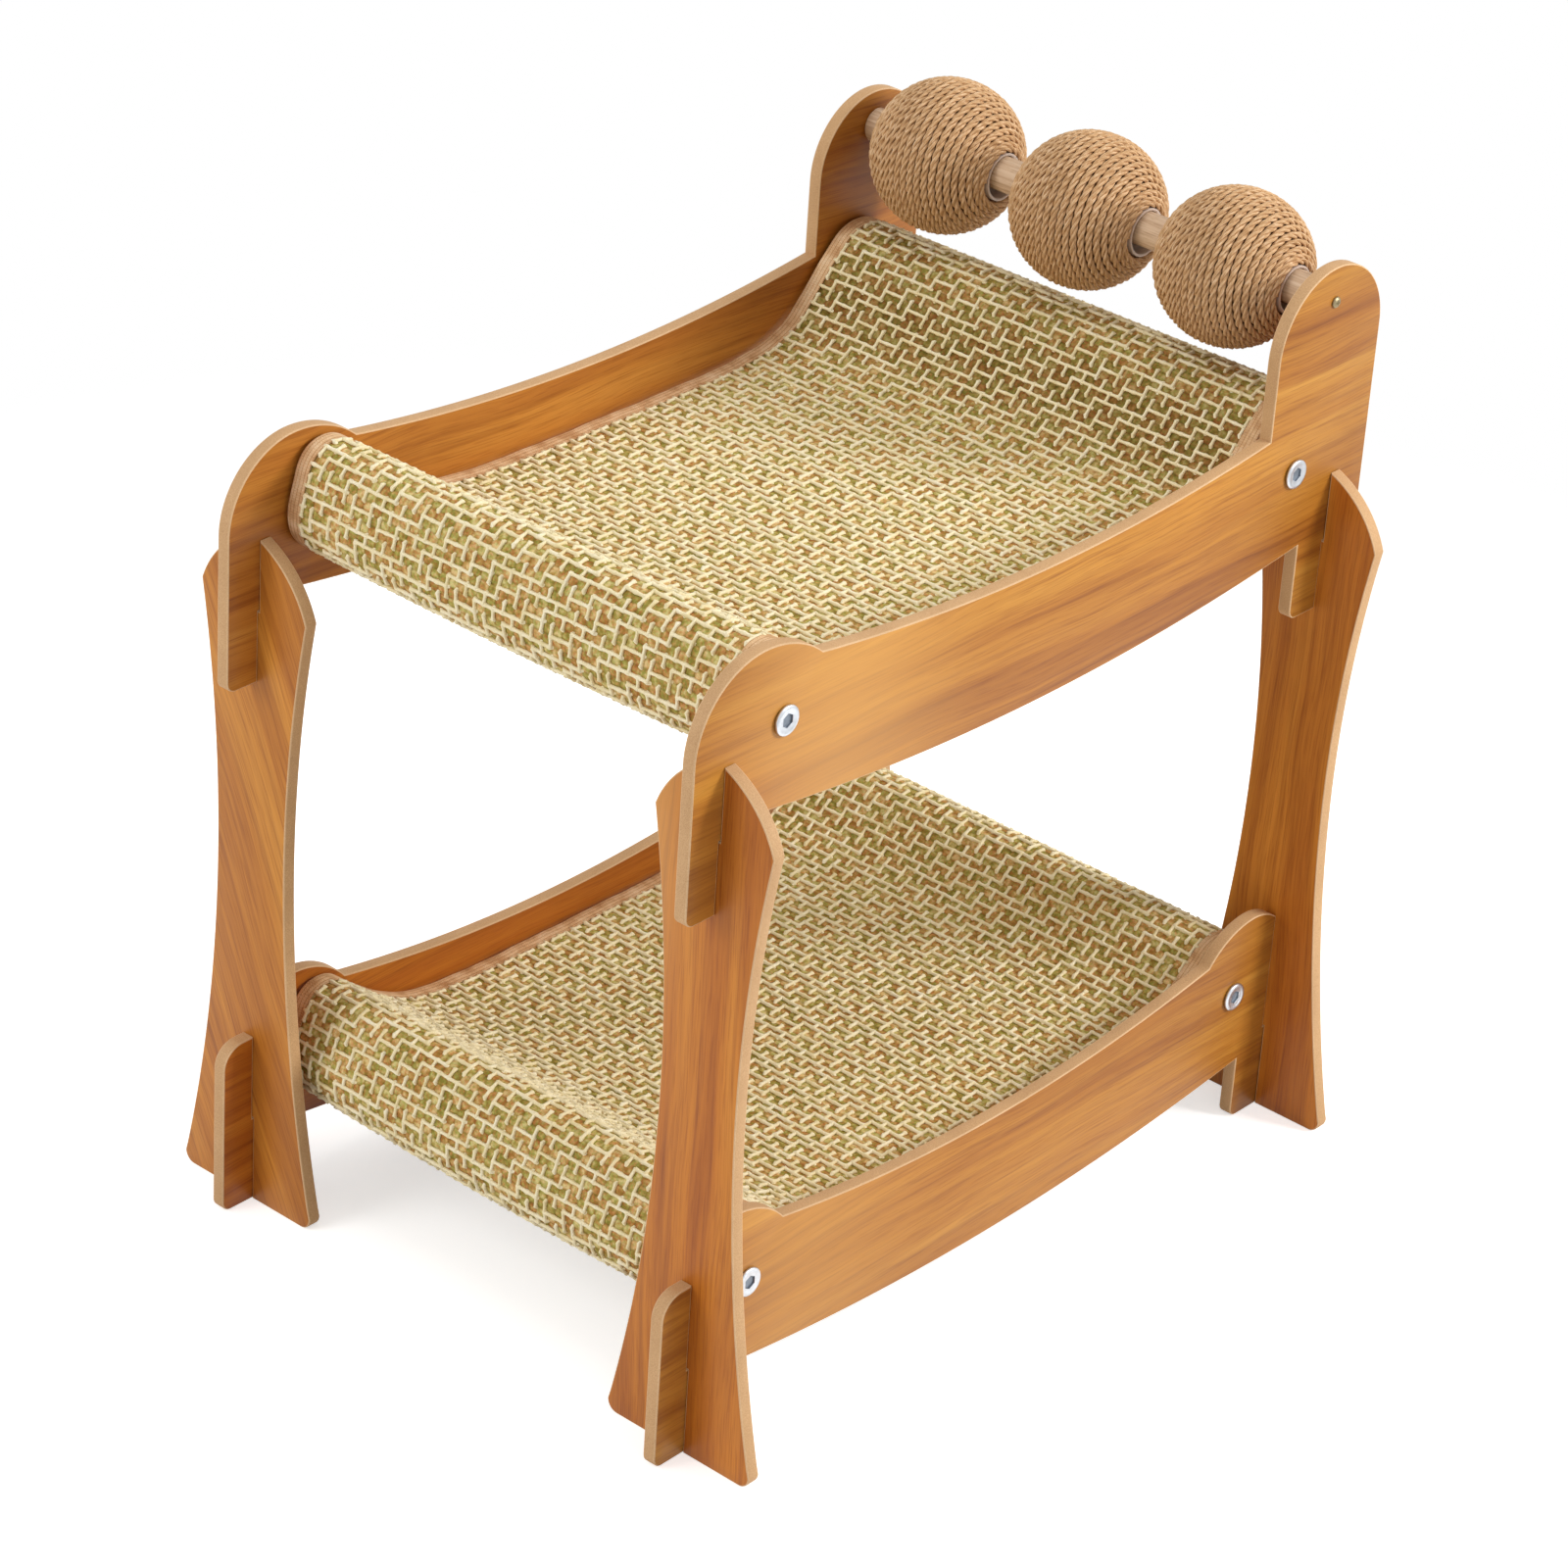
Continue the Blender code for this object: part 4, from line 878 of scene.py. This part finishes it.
# Screws: small pan heads with a cross recess, through each ear into the dowel's end.
screw_radius = np.array([0.0004, 0.0008, 0.0011, 0.0014, 0.0018, 0.0023, 0.0028, 0.0031, 0.00325, 0.0032,
                         0.0015, 0.0015])
screw_x = np.array([0.0018, 0.00178, 0.00175, 0.0017, 0.0016, 0.00142, 0.0011, 0.0008, 0.0004, 0.0,
                    0.0, -0.027])
screw_sides = 64
recess_half, recess_reach, recess_depth, recess_rings = 0.00028, 0.0016, 0.0008, 5
recess_lip = 1.6
brass = plated("screw_plating", srgb(158, 144, 112), 0.40)
screw_turn = np.radians(np.arange(screw_sides) * 360.0 / screw_sides)
for name, side in both_sides:
    radius, turn = np.meshgrid(screw_radius, screw_turn, indexing="ij")
    from_arm = np.minimum(abs(np.cos(turn)), abs(np.sin(turn))) * radius
    in_recess = (radius < recess_reach) * (np.arange(len(radius)) < recess_rings)[:, None]
    x = screw_x[:, None] - recess_depth * in_recess * np.clip(recess_lip - from_arm / recess_half, 0, 1)
    shape = np.stack([x + seat_x, radius * np.cos(turn), radius * np.sin(turn)], axis=2)
    shape = shape[::-1] * (side, side, 1) + (0, ear_y, dowel_z)
    screw = piece(f"dowel_screw_{name}_head", shape, capped_faces(len(shape), screw_sides), brass)
    screw.data.set_sharp_from_angle(angle=math.radians(35))
    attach(screw, "frame")
    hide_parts(f"dowel_screw_{name}")


# Cross tubes, plugs and nuts: hidden in the rolls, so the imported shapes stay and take
# a moulded plastic or plated finish.
def moulded(name, colour, rough):
    """Moulded plastic: an even colour with a faint cloud and a fine orange-peel skin."""
    made, tree = new_finish(name, rough, Specular_IOR_Level=0.4)
    place = node(tree, "TexCoord").outputs["Object"]
    cloud = stretched_noise(tree, place, (60.0, 60.0, 60.0), 2.0)
    peel = stretched_noise(tree, place, (1400.0, 1400.0, 1400.0), 1.0)
    low = tuple(0.92 * part for part in colour[:3]) + (1.0,)
    colour = ramp(tree, cloud, (0.35, low), (0.65, colour))
    return dressed(made, colour, peel, 0.1, 0.0002, maths(tree, "MULTIPLY_ADD", cloud, 0.12, rough - 0.06))


tube_finish = moulded("tube_plastic", srgb(226, 226, 222), 0.45)
plug_finish = moulded("plug_plastic", srgb(52, 52, 54), 0.50)
for name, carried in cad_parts.items():
    for start, finish in (("cross_tube", tube_finish), ("plug", plug_finish), ("nut", steel)):
        if name.startswith(start):
            for held in carried.material_slots:
                held.material = finish


# Dowel: a turned rod of pale beech between the ears, its ends eased, held by a screw
# through each ear.
def beech(name):
    """Pale wood: fine straight fibres along X with short darker flecks."""
    made, tree = new_finish(name, 0.55, Specular_IOR_Level=0.3)
    place = node(tree, "TexCoord").outputs["Object"]
    fibres = stretched_noise(tree, place, (12.0, 700.0, 700.0), 3.0)
    flecks = stretched_noise(tree, place, (120.0, 1300.0, 1300.0), 2.0)
    colour = ramp(tree, fibres, (0.30, srgb(192, 158, 126)), (0.55, srgb(214, 184, 152)),
                  (0.75, srgb(228, 202, 174)))
    fleck = ramp(tree, flecks, (0.34, (0.72, 0.66, 0.58, 1)), (0.44, (1, 1, 1, 1)))
    return dressed(made, toned(tree, 0.6, colour, fleck), fibres, 0.2, 0.0003)


rod_half, rod_radius, rod_ease, rod_sides = 0.1597, 0.0100, 0.0008, 64
rod_profile = [(-rod_half, rod_radius - rod_ease), (-rod_half + rod_ease, rod_radius),
               (rod_half - rod_ease, rod_radius), (rod_half, rod_radius - rod_ease)]
rod = piece("toy_dowel_rod", turned(rod_profile, rod_sides) + (0, ear_y, dowel_z),
            capped_faces(len(rod_profile), rod_sides), beech("dowel_wood"))
rod.data.set_sharp_from_angle(angle=math.radians(40))
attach(rod, "frame")
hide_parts("toy_dowel")


# Rope balls: three-ply sisal wound in one layer over a core, round a plastic liner that
# slides and turns on the dowel.
def sisal(name, dark, mid, light):
    """Twisted leaf fibre: streaks that run along each ply, with pale and dark hairs."""
    made, tree = new_finish(name, 0.80, Specular_IOR_Level=0.2)
    lay = node(tree, "Attribute", attribute_name="lay").outputs["Vector"]
    fibres = stretched_noise(tree, lay, (260.0, 7.0, 1.0), 3.0, 0.6)
    length = stretched_noise(tree, lay, (14.0, 0.0, 1.0), 2.0)
    colour = ramp(tree, fibres, (0.28, dark), (0.50, mid), (0.72, light))
    cast = ramp(tree, length, (0.35, (0.88, 0.85, 0.82, 1)), (0.65, (1, 1, 1, 1)))
    return dressed(made, toned(tree, 0.8, colour, cast), fibres, 0.6, 0.0005)


def tube_rings(path, radius, sides):
    """Rings of a round tube along a path: two directions square to it, turned evenly."""
    along = np.gradient(path, axis=0)
    along /= np.linalg.norm(along, axis=1)[:, None]
    out = path * (0, 1, 1)
    out /= np.linalg.norm(out, axis=1)[:, None]
    wide = np.cross(along, out)
    wide /= np.linalg.norm(wide, axis=1)[:, None]
    tall = np.cross(wide, along)
    turn = np.radians(np.arange(sides) * 360.0 / sides)
    return (path[:, None] + radius * (np.cos(turn)[None, :, None] * wide[:, None]
                                      + np.sin(turn)[None, :, None] * tall[:, None]))


ball_radius = 0.045
cord_radius = 0.00222
ply_radius = 0.00106
turns = 25.5
ply_twist, ply_step, ply_sides = 0.0183, 0.0016, 6
rope_bore = 0.0139
core_radius, core_bore, core_rows = 0.0412, 0.0143, 49
liner_wall, liner_bore = 0.0140, 0.0125
round_sides = 64
row_radius = ball_radius - cord_radius
rim = math.asin((rope_bore + cord_radius) / row_radius)


def winding(phase):
    """One ply of the rope: a spiral over the ball from bore to bore, and a finer one round it.

    The polar angle grows evenly with the turn, save that the first and last turns
    ease in against the bore by an exponential; the ply circles the rope's middle
    once for every length of twist.
    """
    fine = np.linspace(0, turns, 40000)
    rows = fine + np.exp(-fine) - np.exp(fine - turns)
    fine_polar = rim + (math.pi - 2 * rim) * (rows - rows[0]) / (rows[-1] - rows[0])
    round_steps = row_radius * np.sin(fine_polar[1:]) * 2 * math.pi * np.diff(fine)
    length = np.concatenate([[0], np.cumsum(np.hypot(round_steps, row_radius * np.diff(fine_polar)))])
    along = np.linspace(0, length[-1], round(length[-1] / ply_step))
    polar = np.interp(along, length, fine_polar)
    turn = 2 * math.pi * np.interp(along, length, fine)
    out = np.stack([-np.cos(polar), np.sin(polar) * np.cos(turn), np.sin(polar) * np.sin(turn)], axis=1)
    over = np.stack([np.sin(polar), np.cos(polar) * np.cos(turn), np.cos(polar) * np.sin(turn)], axis=1)
    twist = (2 * math.pi * along / ply_twist + phase)[:, None]
    return row_radius * out + (cord_radius - ply_radius) * (np.cos(twist) * over + np.sin(twist) * out), along


def bored_faces(rows, columns):
    """Quads along a turned shape, and quads from its last ring back to its first."""
    here = np.arange(columns)
    after, last = (here + 1) % columns, (rows - 1) * columns
    back_round = np.stack([here, here + last, after + last, after], axis=1)
    return grid_faces(rows, columns, True).tolist() + back_round.tolist()


rope_finish = sisal("sisal_rope", srgb(166, 122, 78), srgb(207, 167, 122), srgb(241, 210, 174))
core_finish = moulded("core_foam", srgb(120, 84, 48), 0.9)
liner_finish = moulded("liner_plastic", srgb(214, 196, 182), 0.40)
plies = [winding(phase) for phase in np.radians([0, 120, 240])]
for number in (1, 2, 3):
    low, high = (np.array(corner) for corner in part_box(f"ball_liner_{number}"))
    middle = (low + high) / 2
    points, faces, lays, start = [], [], [], 0
    for path, along in plies:
        rings = tube_rings(path, ply_radius, ply_sides)
        points.append(rings.reshape(-1, 3) + middle)
        faces.append(grid_faces(len(path), ply_sides, True, start)[:, ::-1])
        lay = np.broadcast_arrays(along[:, None], np.arange(ply_sides) / ply_sides)
        lays.append(np.stack(lay, axis=2).reshape(-1, 2))
        start += len(path) * ply_sides
    ply_size = start // len(plies)
    first_ring = np.arange(ply_sides)
    ends = [(end_ring + ply * ply_size).tolist() for ply in range(len(plies))
            for end_ring in (first_ring, first_ring[::-1] + ply_size - ply_sides)]
    rope = piece(f"ball_rope_{number}_winding", np.concatenate(points),
                 np.concatenate(faces).tolist() + ends, rope_finish)
    keep_places(rope, "lay", *np.concatenate(lays).T, number)
    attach(rope, f"ball_{number}")
    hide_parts(f"ball_rope_{number}")

    start_polar = math.asin(core_bore / core_radius)
    polar = np.linspace(start_polar, math.pi - start_polar, core_rows)
    shell = core_radius * np.stack([-np.cos(polar), np.sin(polar)], axis=1)
    core = piece(f"ball_core_{number}_wrap", turned(shell, round_sides) + middle,
                 bored_faces(core_rows, round_sides), core_finish)
    core.data.set_sharp_from_angle(angle=math.radians(50))
    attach(core, f"ball_{number}")
    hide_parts(f"ball_core_{number}")

    end = float(high[0] - low[0]) / 2
    lip = [(-end + 0.0004, liner_bore), (-end + 0.0001, liner_bore + 0.0004), (-end, liner_bore + 0.0008),
           (-end + 0.0003, liner_wall)]
    pipe = np.array(lip + [(-x, r) for x, r in reversed(lip)])
    liner = piece(f"ball_liner_{number}_pipe", turned(pipe, round_sides) + middle,
                  bored_faces(len(pipe), round_sides), liner_finish)
    liner.data.set_sharp_from_angle(angle=math.radians(50))
    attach(liner, f"liner_{number}")
    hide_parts(f"ball_liner_{number}")


bpy.context.scene.view_settings.view_transform = "Standard"
